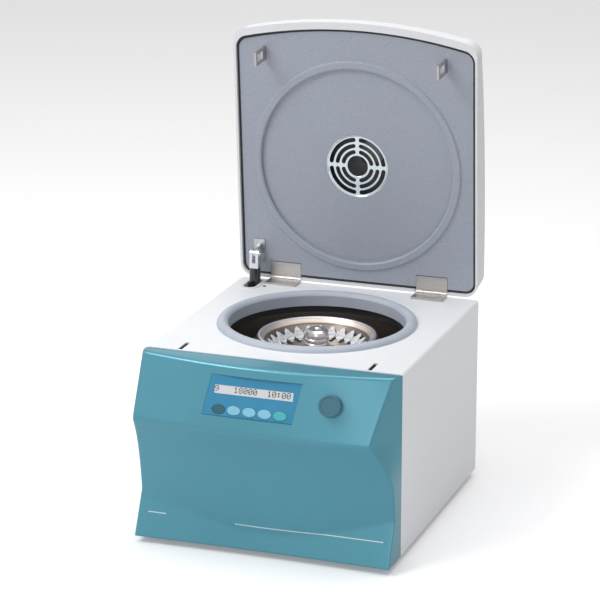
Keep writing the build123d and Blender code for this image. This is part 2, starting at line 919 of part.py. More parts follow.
liner_side = lid_wall + liner_inset
liner_front = lid_front_wall + liner_inset
dish_radius = ridge_radius - ridge_width
dish_level = liner_level + dish_depth
DISH = Plane(origin=(LID * Pos(0, -hinge_y, 0)).position, x_dir=LID.y_dir, z_dir=LID.x_dir)
striker_places = [(-striker_x, -striker_distance), (striker_x, -striker_distance)]
leaf_pad = 5.0

with BuildPart() as lid_liner:
    with BuildSketch(LID.offset(liner_level)):
        add(lid_outline(liner_side, liner_front))
        with Locations((0, -hinge_y)):
            Circle(dish_radius, mode=Mode.SUBTRACT)
    extrude(amount=liner_thickness)
    with BuildSketch(LID.offset(liner_level)):
        with Locations((0, -hinge_y)):
            Circle(dish_radius + liner_thickness)
            Circle(dish_radius, mode=Mode.SUBTRACT)
    extrude(amount=dish_depth + liner_thickness)
    with BuildSketch(LID.offset(dish_level)):
        with Locations((0, -hinge_y)):
            Circle(dish_radius + liner_thickness)
            Circle(grille_radius + grille_gap, mode=Mode.SUBTRACT)
    extrude(amount=liner_thickness)
    with BuildSketch(DISH):
        with BuildLine():
            Polyline(
                (dish_radius, liner_level + 1),
                (dish_radius, liner_level - ridge_rise + 1.2),
                (dish_radius + 2, liner_level - ridge_rise),
                (ridge_radius - 2, liner_level - ridge_rise),
                (ridge_radius, liner_level),
                (ridge_radius, liner_level + 1),
                close=True,
            )
        make_face()
    revolve(axis=Axis(DISH.origin, LID.z_dir))
    with BuildSketch(LID.offset(liner_level)):
        for side in (-1, 1):
            with Locations((side * leaf_centre, -liner_side - lid_leaf_length / 2)):
                Rectangle(leaf_width + 8, lid_leaf_length)
    extrude(amount=leaf_thickness + leaf_pad)
    with BuildSketch(LID.offset(leaf_gap / 2)):
        for side in (-1, 1):
            with Locations((side * leaf_centre, -lid_leaf_length / 2)):
                Rectangle(leaf_width + 0.6, lid_leaf_length + 1.5)
    extrude(amount=leaf_thickness, mode=Mode.SUBTRACT)
    with BuildSketch(LID.offset(liner_level)):
        with Locations(*striker_places):
            Rectangle(striker_thickness + 0.3, striker_width + 0.3)
    extrude(amount=liner_thickness, mode=Mode.SUBTRACT)

seal_side = lid_wall + seal_gap + 0.1
seal_front = lid_front_wall + seal_gap + 0.1

with BuildPart() as lid_seal:
    with BuildSketch(LID.offset(liner_level + 0.2)):
        add(lid_outline(seal_side, seal_front))
        add(lid_outline(liner_side, liner_front), mode=Mode.SUBTRACT)
        for side in (-1, 1):
            with Locations((side * leaf_centre, 0)):
                Rectangle(leaf_notch, 2 * liner_side + 2, mode=Mode.SUBTRACT)
    extrude(amount=liner_thickness - 0.4)

grille_rows = ((16.8, 22.2), (24.8, 30.2), (32.8, 38.6))
grille_centre = 13.8
spoke_width = 4.0

with BuildPart() as vent_grille:
    with BuildSketch(LID.offset(dish_level + 0.2)):
        with Locations((0, -hinge_y)):
            Circle(grille_radius)
            Circle(grille_centre, mode=Mode.SUBTRACT)
            for inner, outer in grille_rows:
                with BuildSketch(mode=Mode.SUBTRACT):
                    Circle(outer)
                    Circle(inner, mode=Mode.SUBTRACT)
                    Rectangle(2 * outer, spoke_width, mode=Mode.SUBTRACT)
                    Rectangle(spoke_width, 2 * outer, mode=Mode.SUBTRACT)
    extrude(amount=grille_thickness)
    with BuildSketch(LID.offset(dish_level + liner_thickness)):
        with Locations((0, -hinge_y)):
            Circle(grille_radius + grille_flange)
            Circle(grille_radius - 1, mode=Mode.SUBTRACT)
    extrude(amount=1.2)
    with BuildSketch(LID.offset(dish_level + 0.2)):
        with Locations((0, -hinge_y)):
            Circle(grille_radius)
            Circle(grille_radius - 1, mode=Mode.SUBTRACT)
    extrude(amount=liner_thickness)

baffle_level = dish_level + liner_thickness + 1.2
baffle_radius = grille_radius + grille_flange + 2
baffle_depth = 14.0

with BuildPart() as air_baffle:
    with BuildSketch(LID.offset(baffle_level)):
        with Locations((0, -hinge_y)):
            Circle(baffle_radius)
    extrude(amount=baffle_depth)
    with BuildSketch(LID.offset(baffle_level)):
        with Locations((0, -hinge_y)):
            Circle(grille_radius + 1)
    extrude(amount=baffle_depth - 2, mode=Mode.SUBTRACT)
    with BuildSketch(LID.offset(baffle_level)):
        with Locations((15, -hinge_y - 15)):
            Circle(16.5)
    extrude(amount=baffle_depth, mode=Mode.SUBTRACT)

with BuildPart() as strikers:
    for place_x, place_y in striker_places:
        with BuildSketch(lid_side(place_x - striker_thickness / 2)):
            with Locations((place_y, liner_level - striker_length / 2 + 1.25)):
                Rectangle(striker_width, striker_length + liner_thickness)
            with Locations((place_y, liner_level - (window_start + window_end) / 2)):
                Rectangle(window_width, window_end - window_start, mode=Mode.SUBTRACT)
        extrude(amount=striker_thickness)
    with BuildSketch(LID.offset(liner_level + liner_thickness)):
        for place_x, place_y in striker_places:
            with Locations((place_x, place_y)):
                Rectangle(20, striker_width)
    extrude(amount=striker_thickness)

# Hinges: two pairs of leaves, four knuckles each, the lid's and the body's by turns

knuckle_width = (leaf_width - 3 * knuckle_gap) / 4
knuckle_clear = knuckle_radius + knuckle_gap
pin_hole = pin_radius + pin_fit


def knuckle_starts(centre, first):
    step = knuckle_width + knuckle_gap
    return [centre - leaf_width / 2 + (first + 2 * i) * step for i in range(2)]


def body_leaf(centre):
    with BuildPart() as leaf:
        with BuildSketch(Plane.XY.offset(top_height)):
            with Locations((centre, hinge_y - knuckle_clear - (leaf_length - knuckle_clear) / 2)):
                Rectangle(leaf_width, leaf_length - knuckle_clear)
            for start in knuckle_starts(centre, 1):
                with Locations((start + knuckle_width / 2, hinge_y - leaf_length / 2)):
                    Rectangle(knuckle_width, leaf_length)
        extrude(amount=leaf_thickness)
        for start in knuckle_starts(centre, 1):
            with BuildSketch(lid_side(start)):
                Circle(knuckle_radius)
            extrude(amount=knuckle_width)
        with BuildSketch(lid_side(centre)):
            Circle(pin_hole)
        extrude(amount=leaf_width, both=True, mode=Mode.SUBTRACT)
    return leaf


def lid_leaf(centre):
    with BuildPart() as leaf:
        with BuildSketch(LID.offset(leaf_gap / 2)):
            with Locations((centre, -knuckle_clear - (lid_leaf_length - knuckle_clear) / 2)):
                Rectangle(leaf_width, lid_leaf_length - knuckle_clear)
            for start in knuckle_starts(centre, 0):
                with Locations((start + knuckle_width / 2, -lid_leaf_length / 2)):
                    Rectangle(knuckle_width, lid_leaf_length)
        extrude(amount=leaf_thickness)
        for start in knuckle_starts(centre, 0):
            with BuildSketch(lid_side(start)):
                Circle(knuckle_radius)
            extrude(amount=knuckle_width)
        with BuildSketch(lid_side(centre)):
            Circle(pin_hole)
        extrude(amount=leaf_width, both=True, mode=Mode.SUBTRACT)
    return leaf


with BuildPart() as hinge_pins:
    for side in (-1, 1):
        with BuildSketch(lid_side(side * leaf_centre - leaf_width / 2)):
            Circle(pin_radius)
        extrude(amount=leaf_width)

# Gas spring: zinc fork on the lid's bracket, tube, rod and the bracket on the base

pin_point = (LID * Pos(spring_x, -spring_pin_distance, -spring_pin_drop)).position
foot_point = Vector(spring_x, spring_foot_y, spring_foot_z)
spring_length = (foot_point - pin_point).length
spring_way = (foot_point - pin_point).normalized()
SPRING = Plane(origin=pin_point, x_dir=(1, 0, 0), z_dir=spring_way)
SPRING_SIDE = Plane(origin=pin_point, x_dir=spring_way, z_dir=(1, 0, 0))
fork_pin_radius = 2.5
spring_tube_end = spring_tube_start + spring_tube_length
rod_overlap = 30.0
socket_radius = 5.5
socket_length = 9.0

with BuildPart() as spring_lid_bracket:
    with BuildSketch(LID.offset(liner_level)):
        with Locations((spring_x, -spring_pin_distance)):
            RectangleRounded(15, 30, 2)
    extrude(amount=-2)
    with BuildSketch(lid_side(spring_x)):
        with BuildLine():
            Polyline(
                (-spring_pin_distance - 9, liner_level),
                (-spring_pin_distance - 5.5, -spring_pin_drop),
                (-spring_pin_distance + 5.5, -spring_pin_drop),
                (-spring_pin_distance + 9, liner_level),
                close=True,
            )
        make_face()
        with Locations((-spring_pin_distance, -spring_pin_drop)):
            Circle(5.5)
            Circle(fork_pin_radius, mode=Mode.SUBTRACT)
    extrude(amount=spring_tongue / 2, both=True)

with BuildPart() as spring_pin:
    with BuildSketch(SPRING_SIDE.offset(-spring_fork_width / 2 - 1.5)):
        Circle(fork_pin_radius)
    extrude(amount=spring_fork_width + 3)

with BuildPart() as spring_fork:
    with BuildSketch(SPRING_SIDE):
        Circle(spring_fork_width / 2)
        with Locations((spring_tube_start / 2, 0)):
            Rectangle(spring_tube_start, spring_fork_width)
        Circle(fork_pin_radius + shaft_fit, mode=Mode.SUBTRACT)
    extrude(amount=spring_fork_width / 2, both=True)
    with BuildSketch(SPRING_SIDE):
        with Locations((2, 0)):
            Rectangle(20, 2 * spring_fork_width)
    extrude(amount=spring_tongue / 2 + 0.3, both=True, mode=Mode.SUBTRACT)

with BuildPart() as spring_tube:
    with BuildSketch(SPRING.offset(spring_tube_start)):
        Circle(spring_tube_radius)
    extrude(amount=spring_tube_length)
    with BuildSketch(SPRING.offset(spring_tube_start + 4)):
        Circle(spring_tube_radius - spring_tube_wall)
    extrude(amount=spring_tube_length - 10, mode=Mode.SUBTRACT)
    with BuildSketch(SPRING.offset(spring_tube_end - 8)):
        Circle(spring_rod_radius + shaft_fit)
    extrude(amount=10, mode=Mode.SUBTRACT)

with BuildPart() as spring_rod:
    with BuildSketch(SPRING.offset(spring_tube_end - rod_overlap)):
        Circle(spring_rod_radius)
    extrude(amount=spring_length - spring_tube_end + rod_overlap)
    with BuildSketch(SPRING.offset(spring_tube_end - rod_overlap)):
        Circle(spring_tube_radius - spring_tube_wall - shaft_fit)
    extrude(amount=5)
    with BuildSketch(SPRING_SIDE.offset(-socket_length / 2)):
        with Locations((spring_length, 0)):
            Circle(socket_radius)
    extrude(amount=socket_length)

foot_plate_x = spring_x + socket_length / 2 + 3.3

with BuildPart() as spring_foot_bracket:
    with BuildSketch(Plane.YZ.offset(foot_plate_x)):
        with Locations((spring_foot_y, (tray_top + spring_foot_z) / 2)):
            Rectangle(20, spring_foot_z - tray_top)
        with Locations((spring_foot_y, spring_foot_z)):
            Circle(10)
    extrude(amount=3)
    with BuildSketch(Plane.XY.offset(tray_top)):
        with Locations((foot_plate_x + 11, spring_foot_y)):
            Rectangle(22, 30)
    extrude(amount=3)
    with BuildSketch(Plane.YZ.offset(foot_plate_x)):
        with Locations((spring_foot_y, spring_foot_z)):
            Circle(3.5)
    extrude(amount=-3)

# Lid lock: a bar with two bolts, driven along by a small geared motor

bar_left = -striker_x - striker_thickness / 2 - lock_rest_gap - lock_pin_length - 3
bar_right = striker_x - striker_thickness / 2 - lock_rest_gap - lock_pin_length
bolt_y = hinge_y - striker_distance
bar_y = bolt_y + striker_width / 2 + bar_clear + bar_thickness / 2
rack_line = lock_height - bar_height / 2 - 1.25 * gear_module
pinion_pitch = pinion_teeth * gear_module / 2
pinion_z = rack_line - pinion_pitch
rack_addendum = 0.75 * gear_module
tooth_pitch = pi * gear_module


def rack_tooth(centre):
    half = (tooth_pitch - gear_backlash) / 4
    slope = tan(radians(20))
    low = half - rack_addendum * slope
    high = half + 1.25 * gear_module * slope
    top = rack_line + 1.25 * gear_module
    with BuildSketch() as tooth:
        with BuildLine():
            Polyline(
                (centre - high, top),
                (centre - low, rack_line - rack_addendum),
                (centre + low, rack_line - rack_addendum),
                (centre + high, top),
                close=True,
            )
        make_face()
    return tooth.sketch


def pinion_outline():
    base = pinion_pitch * cos(radians(20))
    root = pinion_pitch - 1.25 * gear_module
    tip = pinion_pitch + gear_module
    involute = tan(radians(20)) - radians(20)
    half = (tooth_pitch - gear_backlash) / 4 / pinion_pitch + involute
    flank = [(root, half), (base, half)]
    for i in range(1, 5):
        radius = base + (tip - base) * i / 4
        push = sqrt((radius / base) ** 2 - 1)
        flank.append((radius, half - (push - atan2(push, 1))))
    points = []
    for tooth in range(pinion_teeth):
        middle = 2 * pi * tooth / pinion_teeth + pi / 2
        for radius, angle in flank:
            points.append((radius * cos(middle - angle), radius * sin(middle - angle)))
        for radius, angle in reversed(flank):
            points.append((radius * cos(middle + angle), radius * sin(middle + angle)))
    with BuildSketch() as outline:
        with BuildLine():
            Polyline(*points, close=True)
        make_face()
    return outline.sketch


with BuildPart() as lock_bar:
    with BuildSketch(Plane.XZ.offset(-bar_y - bar_thickness / 2)):
        with Locations(((bar_left + bar_right) / 2, lock_height)):
            Rectangle(bar_right - bar_left, bar_height)
        for index in range(9):
            add(rack_tooth(pinion_x + (index - 6 + 0.5) * tooth_pitch))
    extrude(amount=bar_thickness)
    for start in (bar_left, bar_right - 3):
        with BuildSketch(Plane.YZ.offset(start)):
            with Locations(((bar_y + bolt_y - 4) / 2, lock_height)):
                Rectangle(bar_y - bolt_y + 4, bar_height)
        extrude(amount=3)
        with BuildSketch(Plane.YZ.offset(start + 3)):
            with Locations((bolt_y, lock_height)):
                Circle(lock_pin_radius)
        extrude(amount=lock_pin_length)

PINION = Plane(origin=(pinion_x, bar_y + bar_thickness / 2, pinion_z), x_dir=(1, 0, 0), z_dir=(0, -1, 0))
motor_face = 3.0

with BuildPart() as lock_pinion:
    with BuildSketch(PINION):
        add(pinion_outline())
    extrude(amount=bar_thickness)
    with BuildSketch(PINION.offset(bar_thickness)):
        Circle(2)
    extrude(amount=motor_face + 12)

with BuildPart() as lock_motor:
    with BuildSketch(PINION.offset(bar_thickness + motor_face + 2)):
        Circle(10)
    extrude(amount=32)
    with BuildSketch(PINION.offset(bar_thickness + motor_face)):
        Circle(2 + shaft_fit)
    extrude(amount=13, mode=Mode.SUBTRACT)

with BuildPart() as lock_motor_bracket:
    with BuildSketch(PINION.offset(bar_thickness + motor_face)):
        with Locations((0, (top_height - sheet - pinion_z - 10) / 2)):
            Rectangle(26, top_height - sheet - pinion_z + 10)
        Circle(2 + 0.5, mode=Mode.SUBTRACT)
    extrude(amount=2)
    with BuildSketch(Plane.XY.offset(top_height - sheet)):
        with Locations((pinion_x, bar_y - 8 - motor_face)):
            Rectangle(26, 12)
    extrude(amount=-2)


def guide(centre):
    with BuildPart() as bracket:
        with BuildSketch(Plane.YZ.offset(centre - 1)):
            with Locations((bar_y, (top_height - sheet + lock_height - bar_height / 2 - 6) / 2)):
                Rectangle(bar_thickness + 12, top_height - sheet - lock_height + bar_height / 2 + 6)
            with Locations((bar_y, lock_height)):
                Rectangle(bar_thickness + 0.16, bar_height + 0.16, mode=Mode.SUBTRACT)
        extrude(amount=2)
        with BuildSketch(Plane.XY.offset(top_height - sheet)):
            with Locations((centre - 7, bar_y)):
                Rectangle(16, bar_thickness + 12)
        extrude(amount=-2)
    return bracket


# Mains inlet with its rocker switch, inverter board and heat sink

rocker_z = inlet_z + 12
inlet_flange = 2.5

with BuildPart() as power_inlet:
    with BuildSketch(Plane.XZ.offset(-rear_y - inlet_flange)):
        with Locations((inlet_x, inlet_z)):
            RectangleRounded(inlet_width + 6, inlet_height + 8, 3)
    extrude(amount=inlet_flange)
    with BuildSketch(Plane.XZ.offset(-rear_y)):
        with Locations((inlet_x, inlet_z)):
            Rectangle(inlet_width - 0.4, inlet_height - 0.4)
    extrude(amount=28)
    with BuildSketch(Plane.XZ.offset(-rear_y - inlet_flange)):
        with Locations((inlet_x, inlet_z - 12)):
            RectangleRounded(24.5, 17, 3)
            with GridLocations(7, 0, 3, 1):
                Rectangle(2, 4.5, mode=Mode.SUBTRACT)
    extrude(amount=16, mode=Mode.SUBTRACT)
    with BuildSketch(Plane.XZ.offset(-rear_y - inlet_flange)):
        with Locations((inlet_x, rocker_z)):
            Rectangle(rocker_width + 0.4, rocker_height + 0.6)
    extrude(amount=18, mode=Mode.SUBTRACT)

rocker_y = rear_y + inlet_flange - 5

rocker_lean = radians(rocker_angle)
ROCKER = Plane(
    origin=(inlet_x - rocker_width / 2, rocker_y, rocker_z),
    x_dir=(0, cos(rocker_lean), sin(rocker_lean)),
    z_dir=(1, 0, 0),
)

with BuildPart() as power_switch:
    with BuildSketch(ROCKER):
        with BuildLine():
            Polyline((-4, -9), (7.5, -9.9), (5, 0), (7.5, 9.9), (-4, 9), close=True)
        make_face()
        Circle(rocker_height / 2, mode=Mode.INTERSECT)
    extrude(amount=rocker_width)

with BuildPart() as inverter_board:
    with BuildSketch(Plane.XY.offset(tray_top + 6)):
        with Locations((0, 114)):
            RectangleRounded(150, 58, 2)
    extrude(amount=1.6)
    with BuildSketch(Plane.XY.offset(tray_top)):
        with Locations((0, 114)):
            with GridLocations(140, 48, 2, 2):
                Circle(3)
    extrude(amount=6)
    with BuildSketch(Plane.XY.offset(tray_top + 7.6)):
        with Locations((-55, 106), (-32, 106)):
            Circle(9)
        with Locations((0, 104)):
            Rectangle(26, 30)
        with Locations((50, 108)):
            Rectangle(30, 22)
    extrude(amount=26)

with BuildPart() as heat_sink:
    with BuildSketch(Plane.XY.offset(tray_top + tray_flange)):
        with Locations((-20, rear_y - sheet - 2)):
            Rectangle(110, 4)
            with Locations((0, -6)):
                with GridLocations(6, 0, 18, 1):
                    Rectangle(1.6, 9)
    extrude(amount=40)

save(front_panel, "front_panel")
save(control_overlay, "control_overlay")
save(display, "display")
save(control_board, "control_board")
for index, key in enumerate(keys):
    save(key, f"key_{index + 1}")
save(knob, "knob")
save(knob_encoder, "knob_encoder")
save(housing_cover, "housing_cover")
save(slot_bezel, "slot_bezel")
save(base_plate, "base_plate")
save(feet, "feet")
save(rear_panel, "rear_panel")
save(chamber_gasket, "chamber_gasket")
save(bowl_seal, "bowl_seal")
save(bowl, "bowl")
save(guard_ring, "guard_ring")
save(chassis, "chassis")
save(motor_housing, "motor_housing")
save(motor_buffers, "motor_buffers")
save(motor_bearings, "motor_bearings")
save(motor_stator, "motor_stator")
save(motor_rotor, "motor_rotor")
save(motor_shaft, "motor_shaft")
save(shaft_seal, "shaft_seal")
save(rotor, "rotor")
save(microtubes, "microtubes")
save(rotor_nut, "rotor_nut")
save(lid_shell, "lid_shell")
save(lid_liner, "lid_liner")
save(lid_seal, "lid_seal")
save(vent_grille, "vent_grille")
save(air_baffle, "air_baffle")
save(strikers, "strikers")
save(body_leaf(-leaf_centre), "hinge_leaf_body_left")
save(body_leaf(leaf_centre), "hinge_leaf_body_right")
save(lid_leaf(-leaf_centre), "hinge_leaf_lid_left")
save(lid_leaf(leaf_centre), "hinge_leaf_lid_right")
save(hinge_pins, "hinge_pins")
save(spring_lid_bracket, "spring_lid_bracket")
save(spring_pin, "spring_pin")
save(spring_fork, "spring_fork")
save(spring_tube, "spring_tube")
save(spring_rod, "spring_rod")
save(spring_foot_bracket, "spring_foot_bracket")
save(lock_bar, "lock_bar")
save(lock_pinion, "lock_pinion")
save(lock_motor, "lock_motor")
save(lock_motor_bracket, "lock_motor_bracket")
save(guide(-90), "lock_bracket_left")
save(guide(90), "lock_bracket_right")
save(power_inlet, "power_inlet")
save(power_switch, "power_switch")
save(inverter_board, "inverter_board")
save(heat_sink, "heat_sink")
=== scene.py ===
import json
import math

import bmesh
import bpy
import numpy as np
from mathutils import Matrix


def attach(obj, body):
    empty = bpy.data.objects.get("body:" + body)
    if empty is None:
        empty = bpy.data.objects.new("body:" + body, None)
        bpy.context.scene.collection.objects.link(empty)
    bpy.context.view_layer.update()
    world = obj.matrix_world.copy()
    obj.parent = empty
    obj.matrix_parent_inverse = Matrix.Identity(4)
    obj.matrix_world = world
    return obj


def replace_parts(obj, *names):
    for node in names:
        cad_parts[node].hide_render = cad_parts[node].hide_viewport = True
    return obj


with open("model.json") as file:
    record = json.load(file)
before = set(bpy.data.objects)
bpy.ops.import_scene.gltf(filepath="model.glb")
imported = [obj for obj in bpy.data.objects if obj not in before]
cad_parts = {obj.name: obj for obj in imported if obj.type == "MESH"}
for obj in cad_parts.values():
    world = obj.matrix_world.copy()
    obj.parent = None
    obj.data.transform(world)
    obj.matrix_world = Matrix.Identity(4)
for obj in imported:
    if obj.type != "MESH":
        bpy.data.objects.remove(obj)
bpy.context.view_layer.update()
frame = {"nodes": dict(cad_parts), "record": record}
nodes = frame["nodes"]
print("frame loaded:", len(nodes), "nodes")


texture = {
    "coarser": 0.37, "fineShare": 0.6, "bandEdge": 3000.0, "dustFrom": 0.35, "dustColour": (
        0.62, 0.6, 0.57,
    ),
    "cloud": (0.3, 0.7), "roughSpread": (0.9, 1.12), "speckleScale": 1.3, "speckleRange": (0.42, 0.6),
    "coatRoughness": 0.08,
}
meshing = {"sharpAngle": 32.0, "merge": 2e-6, "slimEdge": 5e-6}


def newGroup(name, inputs, outputs):
    # an empty node group with named float or colour sockets
    group = bpy.data.node_groups.new(name, "ShaderNodeTree")
    for label, kind, value in inputs:
        socket = group.interface.new_socket(name=label, in_out="INPUT", socket_type="NodeSocket" + kind)
        socket.default_value = value
    for label, kind in outputs:
        group.interface.new_socket(name=label, in_out="OUTPUT", socket_type="NodeSocket" + kind)
    return group, group.nodes.new("NodeGroupInput"), group.nodes.new("NodeGroupOutput")


def maths(tree, operation, first, second=None, third=None):
    node = tree.nodes.new("ShaderNodeMath")
    node.operation = operation
    for slot, value in enumerate((first, second, third)):
        if value is None:
            continue
        if isinstance(value, (int, float)):
            node.inputs[slot].default_value = value
        else:
            tree.links.new(value, node.inputs[slot])
    return node.outputs[0]


def spindleDistance(tree, split):
    squares = [maths(tree, "POWER", split.outputs[axis], 2.0) for axis in (0, 1)]
    return maths(tree, "SQRT", maths(tree, "ADD", *squares))


def noise(tree, vector, scale, detail=3.0, rough=0.5):
    node = tree.nodes.new("ShaderNodeTexNoise")
    node.inputs["Detail"].default_value = detail
    node.inputs["Roughness"].default_value = rough
    if isinstance(scale, (int, float)):
        node.inputs["Scale"].default_value = scale
    else:
        tree.links.new(scale, node.inputs["Scale"])
    tree.links.new(vector, node.inputs["Vector"])
    return node.outputs["Fac"]


def buildGrain():
    # fine pimples from two sizes of noise, and a slow cloud that varies the tone
    group, given, result = newGroup(
        "fineGrain",
        [("Size", "Float", 900.0), ("Cloud", "Float", 12.0)],
        [("Height", "Float"), ("Tone", "Float")],
    )
    place = group.nodes.new("ShaderNodeTexCoord").outputs["Object"]
    fine = noise(group, place, given.outputs["Size"], 2.0)
    coarse = noise(group, place, maths(group, "MULTIPLY", given.outputs["Size"], texture["coarser"]), 2.0)
    rest = maths(group, "MULTIPLY", coarse, 1 - texture["fineShare"])
    group.links.new(maths(group, "MULTIPLY_ADD", fine, texture["fineShare"], rest), result.inputs["Height"])
    group.links.new(noise(group, place, given.outputs["Cloud"], 4.0, 0.6), result.inputs["Tone"])
    return group


def buildBrushed():
    # long thin streaks: noise squeezed across one axis and stretched along another
    group, given, result = newGroup(
        "brushedStreaks",
        [("Across", "Vector", (900.0, 900.0, 900.0))],
        [("Height", "Float"), ("Streak", "Float")],
    )
    place = group.nodes.new("ShaderNodeTexCoord").outputs["Object"]
    stretch = group.nodes.new("ShaderNodeVectorMath")
    stretch.operation = "MULTIPLY"
    group.links.new(place, stretch.inputs[0])
    group.links.new(given.outputs["Across"], stretch.inputs[1])
    streak = noise(group, stretch.outputs[0], 1.0, 5.0, 0.65)
    group.links.new(streak, result.inputs["Height"])
    group.links.new(streak, result.inputs["Streak"])
    return group


def buildTurned():
    # rings left by a lathe: noise read along the distance from the spindle and the height only
    group, given, result = newGroup(
        "turnedRings",
        [("Pitch", "Float", 1500.0)],
        [("Height", "Float"), ("Ring", "Float")],
    )
    place = group.nodes.new("ShaderNodeTexCoord").outputs["Object"]
    split = group.nodes.new("ShaderNodeSeparateXYZ")
    group.links.new(place, split.inputs[0])
    flat = spindleDistance(group, split)
    join = group.nodes.new("ShaderNodeCombineXYZ")
    group.links.new(maths(group, "MULTIPLY", flat, given.outputs["Pitch"]), join.inputs[0])
    group.links.new(maths(group, "MULTIPLY", split.outputs[2], given.outputs["Pitch"]), join.inputs[1])
    ring = noise(group, join.outputs[0], 1.0, 2.0, 0.6)
    group.links.new(ring, result.inputs["Height"])
    group.links.new(ring, result.inputs["Ring"])
    return group


def buildDust():
    # settles on what faces up, in patches
    group, given, result = newGroup(
        "softDust", [("Amount", "Float", 0.2), ("Patch", "Float", 40.0)], [("Mask", "Float")],
    )
    place = group.nodes.new("ShaderNodeTexCoord").outputs["Object"]
    facing = group.nodes.new("ShaderNodeSeparateXYZ")
    group.links.new(group.nodes.new("ShaderNodeNewGeometry").outputs["Normal"], facing.inputs[0])
    up = maths(group, "MAXIMUM", facing.outputs[2], 0.0)
    patch = maths(
        group, "SUBTRACT", noise(group, place, given.outputs["Patch"], 5.0, 0.7), texture["dustFrom"],
    )
    mask = maths(group, "MULTIPLY", maths(group, "MULTIPLY", up, patch), given.outputs["Amount"])
    group.links.new(maths(group, "MAXIMUM", mask, 0.0), result.inputs["Mask"])
    return group


def buildHighlightBand():
    # one where the distance from the spindle lies between two radii, with soft edges; it lays the painted
    # highlight and painted reflection on the rotor's lip
    group, given, result = newGroup(
        "paintedHighlightBand", [("Inner", "Float", 0.066), ("Outer", "Float", 0.07)], [("Mask", "Float")],
    )
    split = group.nodes.new("ShaderNodeSeparateXYZ")
    group.links.new(group.nodes.new("ShaderNodeTexCoord").outputs["Object"], split.inputs[0])
    away = spindleDistance(group, split)
    steps = []
    for label, sign in (("Inner", 1), ("Outer", -1)):
        past = maths(group, "SUBTRACT", away, given.outputs[label])
        steps.append(maths(group, "MULTIPLY_ADD", past, sign * texture["bandEdge"], 0.5))
    lowest = maths(group, "MINIMUM", *steps)
    group.links.new(
        maths(group, "MINIMUM", maths(group, "MAXIMUM", lowest, 0.0), 1.0), result.inputs["Mask"],
    )
    return group


grainGroup = buildGrain()
highlightBandGroup = buildHighlightBand()
brushedGroup = buildBrushed()
turnedGroup = buildTurned()
dustGroup = buildDust()


def placeGroup(tree, group, **values):
    node = tree.nodes.new("ShaderNodeGroup")
    node.node_tree = group
    for label, value in values.items():
        node.inputs[label].default_value = value
    return node


def blendColours(tree, factor, first, second, low=0.0, high=1.0):
    # first where factor is at low, second where it is at high
    spread = tree.nodes.new("ShaderNodeMapRange")
    spread.inputs["From Min"].default_value = low
    spread.inputs["From Max"].default_value = high
    tree.links.new(factor, spread.inputs["Value"])
    mix = tree.nodes.new("ShaderNodeMix")
    mix.data_type = "RGBA"
    tree.links.new(spread.outputs["Result"], mix.inputs["Factor"])
    for socket, value in ((mix.inputs["A"], first), (mix.inputs["B"], second)):
        if isinstance(value, tuple):
            socket.default_value = (*value, 1.0)
        else:
            tree.links.new(value, socket)
    return mix.outputs["Result"]


def spreadValue(tree, factor, low, high):
    node = tree.nodes.new("ShaderNodeMapRange")
    node.inputs["From Min"].default_value = texture["cloud"][0]
    node.inputs["From Max"].default_value = texture["cloud"][1]
    node.inputs["To Min"].default_value = low
    node.inputs["To Max"].default_value = high
    tree.links.new(factor, node.inputs["Value"])
    return node.outputs["Result"]


def finish(name, colour, roughness, metallic=0.0, coat=0.0, grain=(900.0, 12.0), bump=0.05, tone=0.04,
           dust=0.0, streak=None, rings=None, transmission=0.0, highlightBands=(), speckle=0.0):
    # one material: a base tone that clouds a little, a roughness that follows it, a bump from grain,
    # streaks or rings
    material = bpy.data.materials.new(name)
    material.use_nodes = True
    tree = material.node_tree
    shader = tree.nodes["Principled BSDF"]
    shader.inputs["Metallic"].default_value = metallic
    shader.inputs["Coat Weight"].default_value = coat
    shader.inputs["Coat Roughness"].default_value = texture["coatRoughness"]
    shader.inputs["Transmission Weight"].default_value = transmission
    cloud = placeGroup(tree, grainGroup, Size=grain[0], Cloud=grain[1])
    height, variation = cloud.outputs["Height"], cloud.outputs["Tone"]
    if streak:
        lines = placeGroup(tree, brushedGroup, Across=streak)
        height, variation = lines.outputs["Height"], lines.outputs["Streak"]
    if rings:
        lines = placeGroup(tree, turnedGroup, Pitch=rings)
        height, variation = lines.outputs["Height"], lines.outputs["Ring"]
    darker = tuple(value * (1 - tone) for value in colour)
    lighter = tuple(min(value * (1 + tone), 1.0) for value in colour)
    base = blendColours(tree, variation, darker, lighter, *texture["cloud"])
    if speckle:
        dots = placeGroup(tree, grainGroup, Size=grain[0] * texture["speckleScale"], Cloud=grain[1])
        dark = tuple(value * (1 - speckle) for value in colour)
        base = blendColours(tree, dots.outputs["Height"], base, dark, *texture["speckleRange"])
    # rings of painted highlight and painted reflection laid over the base colour
    for inner, outer, shade in highlightBands:
        band = placeGroup(tree, highlightBandGroup, Inner=inner, Outer=outer)
        base = blendColours(tree, band.outputs["Mask"], base, shade)
    if dust:
        mask = placeGroup(tree, dustGroup, Amount=dust).outputs["Mask"]
        base = blendColours(tree, mask, base, texture["dustColour"])
    tree.links.new(base, shader.inputs["Base Color"])
    smoother, rougher = (roughness * share for share in texture["roughSpread"])
    tree.links.new(spreadValue(tree, variation, smoother, min(rougher, 1.0)), shader.inputs["Roughness"])
    relief = tree.nodes.new("ShaderNodeBump")
    relief.inputs["Strength"].default_value = 1.0
    relief.inputs["Distance"].default_value = bump * 0.001
    tree.links.new(height, relief.inputs["Height"])
    tree.links.new(relief.outputs["Normal"], shader.inputs["Normal"])
    return material


